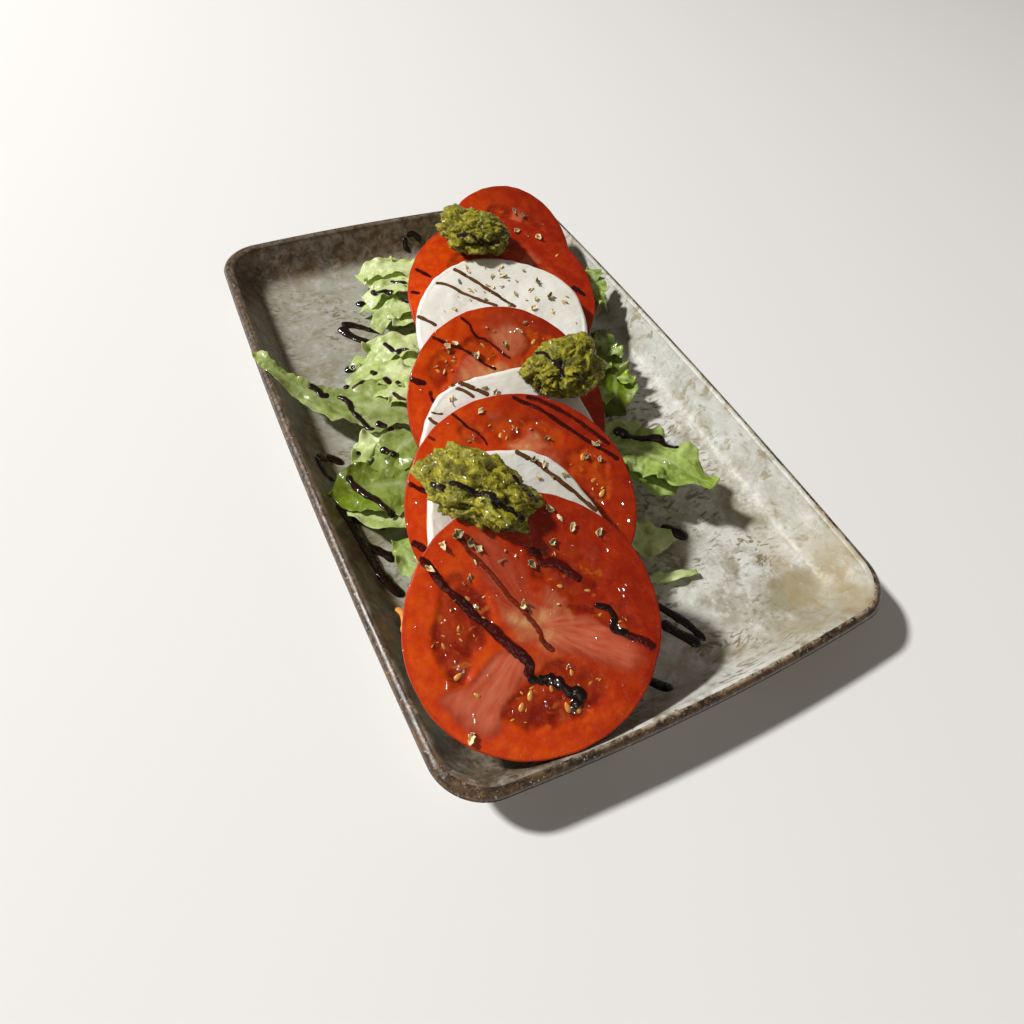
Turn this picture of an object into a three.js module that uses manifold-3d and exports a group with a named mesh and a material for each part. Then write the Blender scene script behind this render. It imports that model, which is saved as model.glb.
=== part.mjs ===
/*
 * Caprese salad on its rectangular stoneware plate.
 *
 * Millimetres, +Z up. The origin is the centre of the plate's underside, +X runs to the right and
 * the row of slices runs from the front (-Y) to the back (+Y). Five tomato slices and three
 * mozzarella slices lie over one another like roof tiles on a bed of lettuce, each with its front
 * edge down. Three dollops of pesto lie on top, and threads of balsamic glaze, tomato seeds and
 * flakes of oregano are joined to what they lie on.
 */
import * as THREE from "three";
import { mergeVertices } from "three/addons/utils/BufferGeometryUtils.js";
import Module from "manifold-3d";

const wasm = await Module();
wasm.setup();

const GAP = 0.35; // clearance between two pieces that touch
const THREAD_ROOM = 0.8; // clearance over a face for the threads of glaze on it
const SLIVER = 0.02; // edges shorter than this are closed up after a join
const DEGREE = Math.PI / 180;

// ---------------------------------------------------------------- driving sizes

const PLATE = {
  width: 171,
  length: 274.6,
  sideBow: 3.1, // how far the long sides bulge outwards
  endBow: 3.9, // how far the short sides bulge outwards
  corner: 15,
  cornerEase: 0.35, // the corners get this much tighter for each millimetre inwards
  arcSteps: 5,
  longSteps: 8,
  shortSteps: 4,
  // distance in from the widest edge, and height
  underside: [[15.5, 0], [13, 0.7], [8.5, 5.2], [0.6, 17.3], [0, 19], [0.6, 20.5], [2.2, 21.3]],
  inside: [[3.6, 20.6], [4.6, 19], [11, 9.6], [13.5, 7.6], [16.5, 6.4], [20, 6]],
};

const TOMATO = {
  thickness: 7.5,
  segments: 30,
  // share of the outline's radius, and height over the cut face, from below to above
  body: [[0.5, -7.5], [0.9, -7.5], [0.935, -6.8], [0.99, -3.4], [1, -0.8], [0.975, 0], [0.86, 0]],
  face: [0.64, 0.36, 0.14], // rings across the seed chambers
  chamberDepth: 1,
};

const MOZZARELLA = {
  thickness: 6,
  segments: 28,
  body: [[0.93, -6], [0.975, -5.2], [1, -2.8], [0.99, -0.8], [0.955, 0], [0.6, 0.2]],
  face: [],
  chamberDepth: 0,
};

/*
 * From the back of the row to the front, which is also from the bottom of the stack to its top.
 * centre: middle of the upper face. pitch: degrees that the front edge is down. roll: degrees that
 * the left edge is down. lobes: [number round the outline, height, place in degrees].
 * chambers: seed chambers of a tomato, as [middle, width] in degrees.
 */
const SLICES = [
  {
    name: "tomato_slice_1", kind: TOMATO, centre: [38.9, 81.3, 33.1], pitch: 25.4, roll: 0,
    radius: 29.7, lobes: [[3, 0.9, -59]],
    chambers: [[20, 44], [84, 40], [150, 46], [222, 44], [300, 48]],
  },
  {
    name: "tomato_slice_2", kind: TOMATO, centre: [19, 47.2, 32.8], pitch: 18.6, roll: 4.2,
    radius: 40.3, lobes: [[2, 0.15, 5], [3, 0.25, -17]],
    chambers: [[8, 42], [62, 38], [118, 44], [180, 44], [240, 40], [305, 48]],
  },
  {
    name: "mozzarella_slice_1", kind: MOZZARELLA, centre: [8.3, 25.1, 35.3], pitch: 15.3, roll: 4.9,
    radius: 35.3, lobes: [[3, 0.4, 0], [4, 0.4, 18], [5, 0.3, 14]],
    chambers: [],
  },
  {
    name: "tomato_slice_3", kind: TOMATO, centre: [-8.4, -15.3, 34.3], pitch: 29, roll: -1,
    radius: 37.9, lobes: [[2, 0.15, 84], [3, 0.4, -50]],
    chambers: [[30, 40], [82, 34], [132, 36], [182, 40], [238, 42], [300, 46]],
  },
  {
    name: "mozzarella_slice_2", kind: MOZZARELLA, centre: [-18.5, -39.4, 34], pitch: 25.7, roll: 3.8,
    radius: 34, lobes: [[2, 0.7, 26], [3, 0.7, 50], [5, 1.35, -26]],
    chambers: [],
  },
  {
    name: "tomato_slice_4", kind: TOMATO, centre: [-25.6, -60, 35.2], pitch: 27.7, roll: 4.8,
    radius: 38.5, lobes: [[3, 0.2, -1]],
    chambers: [[5, 40], [52, 36], [98, 34], [150, 42], [212, 44], [288, 52]],
  },
  {
    name: "mozzarella_slice_3", kind: MOZZARELLA, centre: [-34.6, -73.2, 39.6], pitch: 26.6, roll: -1.1,
    radius: 29.5, lobes: [[2, 0.8, -58], [3, 0.85, -17], [5, 1.1, -24]],
    chambers: [],
  },
  {
    name: "tomato_slice_5", kind: TOMATO, centre: [-43.4, -100.6, 39.2], pitch: 28.2, roll: 6.2,
    radius: 37.2, lobes: [[3, 0.4, -35]],
    chambers: [[12, 36], [62, 40], [122, 42], [196, 52], [278, 56]],
  },
];

/*
 * Glaze threads on the slices: width, then [right, back] of the slice's middle on its upper face.
 */
const THREADS = {
  tomato_slice_5: [
    [2.2, [-25, 33], [-24, 28.5], [-20.5, 22], [-20, 17], [-13.5, 7], [-5.2, -7]],
    [3.6, [-7.7, -13.5], [-3.1, -13.6], [-1.3, -17.5], [2.3, -18.6], [3.5, -22.6], [2.3, -25.6]],
    [1.8, [-11.5, 32], [-8.3, 23.6], [-4.3, 10.6], [-0.3, 2.6], [0.3, -4.7], [5.4, -13]],
    [1.7, [8.4, 19.8], [8.6, 15.9], [13.6, 13.7], [16.6, 6.8]],
    [3, [18, -0.3], [22.3, -3], [21.6, -8], [25, -12.6], [31.6, -19]],
  ],
  tomato_slice_4: [
    [1.6, [9.6, 36], [20.7, 24.2], [29, 14], [37, 4.5]],
    [1.6, [16.4, 33.6], [26.7, 24.2], [36, 10.5]],
    [1.7, [-12.2, 35.6], [-7.7, 30.9], [-3.7, 23.7]],
  ],
  mozzarella_slice_3: [
    [1.8, [9, 26.6], [15, 20], [21.8, 10.1], [28, 0]],
  ],
  mozzarella_slice_2: [
    [2, [-11, 31], [-5.2, 24.6]],
    [2, [-7.8, 30.8], [0.5, 23.7]],
  ],
  tomato_slice_3: [
    [2, [-19.8, 31], [-14, 26.6], [-8.3, 21.7], [-1.9, 15]],
    [1.8, [-6.4, 36], [-3.4, 28.4], [3, 21.4], [7.5, 15.9]],
    [2, [-31.6, 18.2], [-27.8, 14.4], [-27.4, 11]],
  ],
  mozzarella_slice_1: [
    [1.8, [-8.4, 33.2], [0, 20.6], [8.6, 7]],
    [1.8, [-18, 28.4], [-13.7, 25.7], [-7.2, 17.9], [1.8, 9.8]],
    [2, [-30.4, 14.5], [-26, 9]],
  ],
  tomato_slice_2: [
    [1.8, [-31.2, 22.8], [-25.9, 16.7]],
    [2, [-37.2, 12.3], [-33.5, 10.7]],
  ],
};

// Glaze threads on the plate: width, then [x, y] on its floor and walls.
const PLATE_THREADS = [
  [2.6, [6.5, 129.5], [10.5, 130], [14, 127.6]],
  [2.6, [6.2, 129.5], [5, 127], [6.5, 124.2]],
  [4.4, [-31.5, 96.4], [-27.5, 94.4]],
  [3, [-42.4, 82], [-37.1, 80.8], [-30.6, 75.3], [-24.2, 69.6]],
  [3.6, [-42, 80.5], [-37.7, 72.6], [-33.4, 67.6]],
  [4.6, [-49, 56], [-47.8, 52]],
  [3, [-67.8, 3.6], [-72, 7.8], [-76.4, 5]],
  [3.4, [-77, 4.3], [-76.6, -1.6], [-74, -5]],
  [3.8, [-76.9, -19.3], [-75, -27], [-74, -35], [-72.8, -44], [-71.4, -51.4], [-68, -60]],
  [3, [-75.6, -21], [-72, -24.6], [-66.6, -26.8], [-63.4, -31.2]],
  [3.4, [-73, -35.6], [-67.6, -41.4], [-64.4, -44.8]],
  [2.6, [48.8, -28], [54.2, -32.4], [59, -41]],
  [4.2, [31.4, -69.2], [34.6, -72.4], [38, -77.8]],
  [3.2, [10.6, -96.4], [16.4, -107.2], [18.8, -115.2]],
  [3.4, [8.4, -103.2], [12, -109.8], [16.4, -115.8]],
  [3.2, [-8, -118.6], [-5, -123], [-3, -126]],
];

// Seeds on the cut faces: [right, back, direction in degrees] of the slice's middle.
const SEEDS = {
  tomato_slice_5: [
    [3.5, -26, 70], [0.5, -30.5, 95], [9, -27, 20], [-17.5, -18, 40], [-22, -12, 130],
    [-24.5, -4, 100], [-18, -7.5, 60], [12.5, 4.5, 150], [-15.5, 20.5, 120],
  ],
  tomato_slice_4: [[7, 30.5, 100], [2.5, 27, 60], [22, 29.5, 40]],
  tomato_slice_3: [[-24, 24, 130], [-19.5, 18.5, 150], [-10.5, 32, 110]],
  tomato_slice_2: [[27, 24, 40], [31.5, 12, 20]],
};

const SEED_SIZE = [3.4, 2, 0.8]; // length, width and half thickness

// A thread of glaze: everything but sunk is a share of its width.
const THREAD = {
  step: 2.5, // from one section to the next
  height: 0.34,
  sunk: 0.6, // below the surface that it lies on, in millimetres
  end: 0.45, // width of its ends
  unevenness: 0.16,
  // across and up, as shares of the half width and the height
  section: [[-1, 0], [1, 0], [0.6, 0.85], [-0.6, 0.85]],
};

// Flakes of oregano: how many lie on each slice's open part, and where that part is.
const FLAKES = {
  size: [2.9, 1.7, 0.7], // length, width and half thickness
  // [count, nearest and farthest from the middle as shares of the radius, first and last degree]
  mozzarella_slice_1: [7, 0.15, 0.85, 5, 110],
  mozzarella_slice_2: [1, 0.84, 0.88, 112, 118],
  tomato_slice_3: [5, 0.62, 0.9, 60, 150],
  tomato_slice_4: [6, 0.62, 0.88, 20, 130],
  mozzarella_slice_3: [2, 0.7, 0.85, 50, 74],
  tomato_slice_5: [9, 0.2, 0.85, -20, 80],
};

// Pesto lumps: number over half a dollop, height as a share of its half size.
const LUMPS = [[1.7, 0.2], [4.3, 0.16]];

// Pesto: centre, half sizes, turn in degrees, splits of an icosahedron, and a seed for the lumps.
const DOLLOPS = [
  { name: "pesto_1", centre: [14.5, 71, 49.5], half: [15.5, 15, 7.5], turn: 20, detail: 4, seed: 3 },
  { name: "pesto_2", centre: [8.5, -20, 50.5], half: [17, 12.5, 8.5], turn: 24, detail: 4, seed: 11 },
  { name: "pesto_3", centre: [-45.5, -63, 55], half: [20.5, 14.5, 10.5], turn: -52, detail: 5, seed: 23 },
];

const LEAF_THICKNESS = 0.9;
const LEAF_ROOM = 0.85; // clearance between a leaf and what is under or over it
const LEAF_SLICE_PAST = 6; // how far round a slice a leaf stays under it

/*
 * Leaves: the points that the middle of the leaf runs through, the half widths there, the height
 * of the ruffles on its edges, their number along it, how far the edges rise for each millimetre
 * of half width, and the steps along and across.
 */
const LEAVES = [
  {
    name: "leaf_back_left", spine: [[-1, 80, 20], [-9, 92, 18], [-16, 102, 15], [-23, 110, 11]],
    widths: [7, 11, 11, 4.5], ruffle: 2.2, waves: 4, rise: 0.05, steps: [10, 6],
  },
  {
    name: "leaf_back_left_low", spine: [[-11, 61, 18], [-17, 71, 16], [-23, 80, 13.5], [-29, 89, 10]],
    widths: [6, 9.5, 9, 4.5], ruffle: 2, waves: 3.5, rise: 0.05, steps: [9, 6],
  },
  {
    name: "leaf_mid_left_high", spine: [[-21, 32, 19], [-30, 38, 18], [-38, 45, 15], [-47, 53, 11.5]],
    widths: [7, 9, 8.5, 4], ruffle: 2, waves: 3.5, rise: 0.05, steps: [8, 6],
  },
  {
    name: "leaf_long_left",
    spine: [[-35, 7, 19], [-46, 15, 19], [-59, 25, 18], [-70, 35, 18], [-77, 43, 20], [-81.5, 49, 23], [-84, 55, 25]],
    widths: [10, 13.5, 12, 6.5, 4.5, 3, 1.5], ruffle: 2.2, waves: 5, rise: 0.08, steps: [16, 6],
  },
  {
    name: "leaf_curl_left", spine: [[-45, -1.5, 15], [-50, 0, 14.5], [-57, 0.5, 13], [-63, 1, 11.5]],
    widths: [2, 3.5, 5, 4.5], ruffle: 1.6, waves: 3.5, rise: 0.1, steps: [8, 5],
  },
  {
    name: "leaf_front_left", spine: [[-46, -25, 17], [-55, -21, 16.5], [-65, -18, 15], [-74, -12, 13]],
    widths: [14, 13.5, 11, 5], ruffle: 2, waves: 3.5, rise: 0.03, steps: [10, 6],
  },
  {
    name: "leaf_front_small", spine: [[-60, -62, 14], [-62, -52, 13.5], [-62, -41, 11]],
    widths: [4, 5, 3], ruffle: 1.4, waves: 2.5, rise: 0.05, steps: [6, 4],
  },
  {
    name: "leaf_back_right", spine: [[48, 34, 24], [57, 41, 26], [65, 47, 27.5], [72, 52, 27]],
    widths: [4, 8, 7, 3], ruffle: 1.8, waves: 3, rise: 0.05, steps: [8, 4],
  },
  {
    name: "leaf_mid_right", spine: [[57, 25, 21], [53, 12, 19.5], [48, -4, 18], [40, -19, 15]],
    widths: [5, 7, 10, 5], ruffle: 2.4, waves: 4, rise: 0.03, steps: [10, 6],
  },
  {
    name: "leaf_bright_right", spine: [[25, -34, 20], [32, -46, 20], [41, -57, 19], [51.5, -69, 20]],
    widths: [7, 12, 10, 3.5], ruffle: 1.8, waves: 3, rise: 0.08, steps: [10, 6],
  },
  {
    name: "leaf_pale_right", spine: [[11, -70, 13], [20, -73.5, 11.5], [31, -76, 9.5]],
    widths: [8, 9.5, 3.5], ruffle: 1, waves: 2.5, rise: 0.04, steps: [6, 4],
  },
  {
    name: "leaf_frond_right", spine: [[8, -88, 11.5], [18, -90, 9.5], [31, -92, 8.2]],
    widths: [1.6, 2.2, 1], ruffle: 0.5, waves: 3, rise: 0.05, steps: [7, 2],
  },
];

// The lettuce under the slices: its middle line, half width and steps.
const BED = {
  name: "lettuce_bed",
  front: [-42, -112],
  back: [36, 102],
  halfWidth: 27,
  height: 30,
  leafRoom: 3.4, // room left under the slices for the leaves
  slicePast: 8, // how far round a slice that room is kept
  rim: 0.9, // thickness at its edge
  lump: [7, 1.6], // size and height of its lumps
  endShare: 0.55, // width at its ends
  steps: [26, 8],
};

const SHRED = { name: "carrot_shred", from: [-72.5, -66, 12.5], to: [-74, -76, 13.5], width: 2, height: 1.4 };

// ---------------------------------------------------------------- colours

const material = (color, roughness) => new THREE.MeshStandardMaterial({ color, roughness, metalness: 0 });
const GLAZE = () => material("#b3aea2", 0.25);
const FLESH = () => material("#c8371b", 0.3);
const CHEESE = () => material("#efe9df", 0.5);
const PESTO = () => material("#767118", 0.45);
const LEAF = () => material("#a3bd5c", 0.45);
const CARROT = () => material("#d9772b", 0.5);

// ---------------------------------------------------------------- numbers

/** A repeatable number from 0 to 1 for three whole numbers and a seed. */
function hash(x, y, z, seed) {
  const value = Math.sin(x * 127.1 + y * 311.7 + z * 74.7 + seed * 53.3) * 43758.5453;
  return value - Math.floor(value);
}

/** Smooth noise from -1 to 1. */
function noise(x, y, z, seed) {
  const [ix, iy, iz] = [Math.floor(x), Math.floor(y), Math.floor(z)];
  const ease = (t) => t * t * (3 - 2 * t);
  const [fx, fy, fz] = [ease(x - ix), ease(y - iy), ease(z - iz)];
  let sum = 0;
  for (const dx of [0, 1]) {
    for (const dy of [0, 1]) {
      for (const dz of [0, 1]) {
        const weight = (dx ? fx : 1 - fx) * (dy ? fy : 1 - fy) * (dz ? fz : 1 - fz);
        sum += weight * hash(ix + dx, iy + dy, iz + dz, seed);
      }
    }
  }
  return 2 * sum - 1;
}

/** The value at place, from 0 to 1, along evenly spaced values, with smooth turns. */
function along(values, place) {
  const last = values.length - 1;
  const at = Math.min(place * last, last - 1e-6);
  const index = Math.floor(at);
  const part = at - index;
  return THREE.MathUtils.lerp(values[index], values[index + 1], part * part * (3 - 2 * part));
}

// ---------------------------------------------------------------- solids

/** A closed solid from vertices and faces. */
function solid(vertices, faces) {
  const geometry = new THREE.BufferGeometry();
  const numbers = vertices.flatMap((v) => [v.x, v.y, v.z]);
  geometry.setAttribute("position", new THREE.Float32BufferAttribute(numbers, 3));
  geometry.setIndex(faces.flat());
  return geometry;
}

/** A solid through rings of equally many points, from below to above, closed at both ends. */
function loft(rings) {
  const count = rings[0].length;
  const vertices = rings.flat();
  const faces = [];
  for (let ring = 0; ring + 1 < rings.length; ring += 1) {
    for (let j = 0; j < count; j += 1) {
      const next = (j + 1) % count;
      const [a, b] = [ring * count + j, ring * count + next];
      faces.push([a, b, b + count], [a, b + count, a + count]);
    }
  }
  for (const [ring, order] of [[0, -1], [rings.length - 1, 1]]) {
    const middle = new THREE.Vector3();
    rings[ring].forEach((v) => middle.addScaledVector(v, 1 / count));
    vertices.push(middle);
    for (let j = 0; j < count; j += 1) {
      const [a, b] = [ring * count + j, ring * count + ((j + 1) % count)];
      faces.push(order > 0 ? [vertices.length - 1, a, b] : [vertices.length - 1, b, a]);
    }
  }
  return solid(vertices, faces);
}

/** A solid between two grids of points, each an array of rows, upper and lower alike. */
function slab(upper, lower) {
  const [rows, columns] = [upper.length, upper[0].length];
  const vertices = [...upper.flat(), ...lower.flat()];
  const faces = [];
  const top = (i, j) => i * columns + j;
  const shift = rows * columns;
  for (let i = 0; i + 1 < rows; i += 1) {
    for (let j = 0; j + 1 < columns; j += 1) {
      const corners = [top(i, j), top(i + 1, j), top(i + 1, j + 1), top(i, j + 1)];
      const [a, b, c, d] = corners;
      const flip = (i + j) % 2 === 1;
      const pairs = flip ? [[a, b, d], [b, c, d]] : [[a, b, c], [a, c, d]];
      for (const [p, q, r] of pairs) {
        faces.push([p, q, r], [p + shift, r + shift, q + shift]);
      }
    }
  }
  const edge = [];
  for (let i = 0; i < rows - 1; i += 1) edge.push(top(i, 0));
  for (let j = 0; j < columns - 1; j += 1) edge.push(top(rows - 1, j));
  for (let i = rows - 1; i > 0; i -= 1) edge.push(top(i, columns - 1));
  for (let j = columns - 1; j > 0; j -= 1) edge.push(top(0, j));
  edge.forEach((a, k) => {
    const b = edge[(k + 1) % edge.length];
    faces.push([a, a + shift, b + shift], [a, b + shift, b]);
  });
  return solid(vertices, faces);
}

function toManifold(geometry) {
  const vertProperties = new Float32Array(geometry.attributes.position.array);
  const triVerts = new Uint32Array(geometry.index.array);
  return new wasm.Manifold(new wasm.Mesh({ numProp: 3, vertProperties, triVerts }));
}

function fromManifold(body) {
  const mesh = body.getMesh();
  const geometry = new THREE.BufferGeometry();
  geometry.setAttribute("position", new THREE.BufferAttribute(mesh.vertProperties, 3));
  geometry.setIndex(new THREE.BufferAttribute(mesh.triVerts, 1));
  return geometry;
}

/** Joins small pieces to a solid; what doesn't meet it is dropped. */
function fuse(geometry, pieces) {
  let body = toManifold(geometry);
  for (const piece of pieces) body = body.add(toManifold(piece));
  return largest(body);
}

/** The main body of a join or cut, with the sliver edges that the join leaves closed up. */
function largest(body) {
  const parts = body.simplify(SLIVER).decompose();
  parts.sort((a, b) => b.volume() - a.volume());
  return fromManifold(parts[0]);
}

/** The height of a solid's upper surface, as a function of the point over it. */
function surfaceOf(geometry) {
  const mesh = new THREE.Mesh(geometry);
  const down = new THREE.Vector3(0, 0, -1);
  const start = 50;
  return (x, y) => {
    const [hit] = new THREE.Raycaster(new THREE.Vector3(x, y, start), down).intersectObject(mesh);
    return hit ? hit.point.z : 0;
  };
}

/** A node of the model. */
function node(name, geometry, finish) {
  const mesh = new THREE.Mesh(geometry, finish);
  mesh.name = name;
  return mesh;
}

// ---------------------------------------------------------------- plate

/** The plate's outline, a distance in from its widest edge, at a height. */
function plateRing([inset, height]) {
  const halfX = PLATE.width / 2 - PLATE.sideBow - inset;
  const halfY = PLATE.length / 2 - PLATE.endBow - inset;
  const radius = PLATE.corner - PLATE.cornerEase * inset;
  const corners = [[1, -1, -90], [1, 1, 0], [-1, 1, 90], [-1, -1, 180]];
  const arcs = corners.map(([sx, sy, start]) => {
    const points = [];
    for (let k = 0; k <= PLATE.arcSteps; k += 1) {
      const angle = (start + (90 * k) / PLATE.arcSteps) * DEGREE;
      const x = sx * (halfX - radius) + radius * Math.cos(angle);
      const y = sy * (halfY - radius) + radius * Math.sin(angle);
      points.push(new THREE.Vector3(x, y, height));
    }
    return points;
  });
  const ring = [];
  arcs.forEach((arc, k) => {
    const next = arcs[(k + 1) % arcs.length][0];
    const steps = k % 2 === 0 ? PLATE.longSteps : PLATE.shortSteps;
    ring.push(...arc);
    for (let j = 1; j < steps; j += 1) ring.push(arc.at(-1).clone().lerp(next, j / steps));
  });
  return ring.map(({ x, y }) => {
    const bulgeX = PLATE.sideBow * (1 - (y / halfY) ** 2) * (x / halfX);
    const bulgeY = PLATE.endBow * (1 - (x / halfX) ** 2) * (y / halfY);
    return new THREE.Vector3(x + bulgeX, y + bulgeY, height);
  });
}

/** Height of the plate's upper side under a point. */
function plateTop(x, y) {
  const halfX = PLATE.width / 2 - PLATE.sideBow * (y / (PLATE.length / 2)) ** 2;
  const halfY = PLATE.length / 2 - PLATE.endBow * (x / (PLATE.width / 2)) ** 2;
  const inset = Math.min(halfX - Math.abs(x), halfY - Math.abs(y));
  const profile = [PLATE.underside.at(-1), ...PLATE.inside];
  for (let k = 0; k + 1 < profile.length; k += 1) {
    const [[i0, z0], [i1, z1]] = [profile[k], profile[k + 1]];
    if (inset < i1) return THREE.MathUtils.mapLinear(Math.max(inset, i0), i0, i1, z0, z1);
  }
  return profile.at(-1)[1];
}

function makePlate() {
  const bare = loft([...PLATE.underside, ...PLATE.inside].map(plateRing));
  const heightAt = surfaceOf(bare);
  const threads = PLATE_THREADS.map(([width, ...points]) => thread(width, points, heightAt));
  return node("plate", fuse(bare, threads), GLAZE());
}

// ---------------------------------------------------------------- glaze, seeds and flakes

function flatCurve(points) {
  return new THREE.CatmullRomCurve3(points.map(([x, y]) => new THREE.Vector3(x, y, 0)));
}

/** A thread of glaze along points, round on top and sunk a little into the surface below it. */
function thread(width, points, heightAt) {
  const curve = flatCurve(points);
  const steps = Math.max(2, Math.round(curve.getLength() / (THREAD.step * width)));
  const rings = [];
  for (let k = 0; k <= steps; k += 1) {
    const place = k / steps;
    const middle = curve.getPointAt(place);
    const tangent = curve.getTangentAt(place);
    const taper = k === 0 || k === steps ? THREAD.end : 1;
    const uneven = 1 + THREAD.unevenness * noise(middle.x, middle.y, width, 5);
    const half = (width / 2) * taper * uneven;
    const height = THREAD.height * width * taper;
    rings.push(
      THREAD.section.map(([across, up]) => {
        const x = middle.x - tangent.y * across * half;
        const y = middle.y + tangent.x * across * half;
        const base = heightAt(x, y);
        return new THREE.Vector3(x, y, up ? base + up * height : base - THREAD.sunk);
      }),
    );
  }
  return loft(rings);
}

/** A seed or flake: a flat lozenge-like body, with its middle a little over the face. */
function grain(x, y, angle, [length, width, thickness], heightAt) {
  const lift = 0.15 * thickness;
  const geometry = mergeVertices(
    new THREE.OctahedronGeometry(1, 0).deleteAttribute("normal").deleteAttribute("uv"),
  );
  geometry.scale(length / 2, width / 2, thickness);
  geometry.rotateZ(angle * DEGREE);
  geometry.translate(x, y, heightAt(x, y) + lift);
  return geometry;
}

// ---------------------------------------------------------------- slices

function outlineRadius(slice, angle) {
  return slice.lobes.reduce(
    (sum, [count, height, place]) => sum + height * Math.cos(count * (angle - place * DEGREE)),
    slice.radius,
  );
}

/** How deep a seed chamber is, from 0 to 1, in a direction on the face. */
function chamber(slice, angle) {
  let depth = 0;
  for (const [middle, width] of slice.chambers) {
    const turn = angle / DEGREE - middle;
    const away = Math.abs(turn - 360 * Math.round(turn / 360)) / (width / 2);
    depth = Math.max(depth, away < 1 ? 1 - away ** 4 : 0);
  }
  return depth;
}

/** Height of the cut face at a point of the slice's own plane. */
function faceHeight(slice, x, y) {
  const share = Math.hypot(x, y) / slice.radius;
  const reach = Math.max(0, 1 - Math.abs((share - 0.5) / 0.33) ** 3);
  return -slice.kind.chamberDepth * reach * chamber(slice, Math.atan2(y, x));
}

function sliceRing(slice, share, height) {
  const ring = [];
  for (let k = 0; k < slice.kind.segments; k += 1) {
    const angle = (2 * Math.PI * k) / slice.kind.segments;
    const radius = share * outlineRadius(slice, angle);
    const [x, y] = [radius * Math.cos(angle), radius * Math.sin(angle)];
    ring.push(new THREE.Vector3(x, y, height ?? faceHeight(slice, x, y)));
  }
  return ring;
}

function placeSlice(slice, object) {
  object.position.set(...slice.centre);
  object.rotation.set(slice.pitch * DEGREE, -slice.roll * DEGREE, 0);
  object.updateMatrixWorld(true);
  return object;
}

/** Places for flakes, scattered by a seeded rule over the open part of a slice. */
function flakePlaces(slice, index) {
  const [count, near, far, first, last] = FLAKES[slice.name] ?? [0];
  const places = [];
  for (let k = 0; k < count; k += 1) {
    const draw = (part) => hash(k, part, index, 7);
    const radius = THREE.MathUtils.lerp(near, far, draw(1)) * slice.radius;
    const angle = THREE.MathUtils.lerp(first, last, (k + draw(2)) / count) * DEGREE;
    places.push([radius * Math.cos(angle), radius * Math.sin(angle), 360 * draw(3)]);
  }
  return places;
}

/** Grains at the places that are clear of the threads and of the grains before them. */
function grains(places, taken, size, heightAt) {
  const half = size[0] / 2;
  const made = [];
  for (const [x, y, turn] of places) {
    const clear = taken.every(([u, v, reach]) => Math.hypot(x - u, y - v) > reach + half);
    if (clear) {
      made.push(grain(x, y, turn, size, heightAt));
      taken.push([x, y, half + GAP]);
    }
  }
  return made;
}

function makeSlice(slice, index) {
  const rings = [
    ...slice.kind.body.map(([share, height]) => sliceRing(slice, share, height)),
    ...slice.kind.face.map((share) => sliceRing(slice, share)),
  ];
  const bare = loft(rings);
  const heightAt = surfaceOf(bare);
  const lines = THREADS[slice.name] ?? [];
  const threads = lines.map(([width, ...points]) => thread(width, points, heightAt));
  const taken = lines.flatMap(([width, ...points]) => {
    const spots = flatCurve(points).getSpacedPoints(points.length * 6);
    return spots.map(({ x, y }) => [x, y, width / 2 + GAP]);
  });
  const seeds = grains(SEEDS[slice.name] ?? [], taken, SEED_SIZE, heightAt);
  const flakes = grains(flakePlaces(slice, index), taken, FLAKES.size, heightAt);
  const finish = slice.kind === TOMATO ? FLESH() : CHEESE();
  return placeSlice(slice, node(slice.name, fuse(bare, [...threads, ...seeds, ...flakes]), finish));
}

/** The room that a slice takes with a gap round it, from a height over its face far down. */
function sliceRoom(slice, gap) {
  const grown = { ...slice, radius: slice.radius + gap };
  const below = 60;
  const above = THREADS[slice.name] ? THREAD_ROOM : gap;
  const geometry = loft([sliceRing(grown, 1, -below), sliceRing(grown, 1, above)]);
  geometry.applyMatrix4(placeSlice(slice, new THREE.Object3D()).matrixWorld);
  return geometry;
}

/** Height of the slices' undersides over a point: the lowest one, or Infinity beside them. */
function ceiling(x, y, margin) {
  let lowest = Infinity;
  for (const slice of SLICES) {
    const frame = placeSlice(slice, new THREE.Object3D()).matrixWorld;
    const normal = new THREE.Vector3().setFromMatrixColumn(frame, 2);
    const centre = new THREE.Vector3(...slice.centre).addScaledVector(normal, -slice.kind.thickness);
    const z = centre.z - (normal.x * (x - centre.x) + normal.y * (y - centre.y)) / normal.z;
    const away = new THREE.Vector3(x, y, z).distanceTo(centre);
    if (away < slice.radius + margin) lowest = Math.min(lowest, z);
  }
  return lowest;
}

// ---------------------------------------------------------------- pesto

function makeDollop({ name, centre, half, turn, detail, seed }) {
  const geometry = mergeVertices(
    new THREE.IcosahedronGeometry(1, detail).deleteAttribute("normal").deleteAttribute("uv"),
  );
  const position = geometry.attributes.position;
  for (let k = 0; k < position.count; k += 1) {
    const v = new THREE.Vector3().fromBufferAttribute(position, k);
    const swell = LUMPS.reduce(
      (sum, [count, height], n) => sum + height * noise(v.x * count, v.y * count, v.z * count, seed + n),
      1,
    );
    v.multiplyScalar(swell);
    position.setXYZ(k, v.x, v.y, v.z);
  }
  geometry.scale(...half);
  geometry.rotateZ(turn * DEGREE);
  geometry.translate(...centre);
  let body = toManifold(geometry);
  for (const slice of SLICES) body = body.subtract(toManifold(sliceRoom(slice, GAP)));
  return node(name, largest(body), PESTO());
}

// ---------------------------------------------------------------- lettuce

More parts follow.
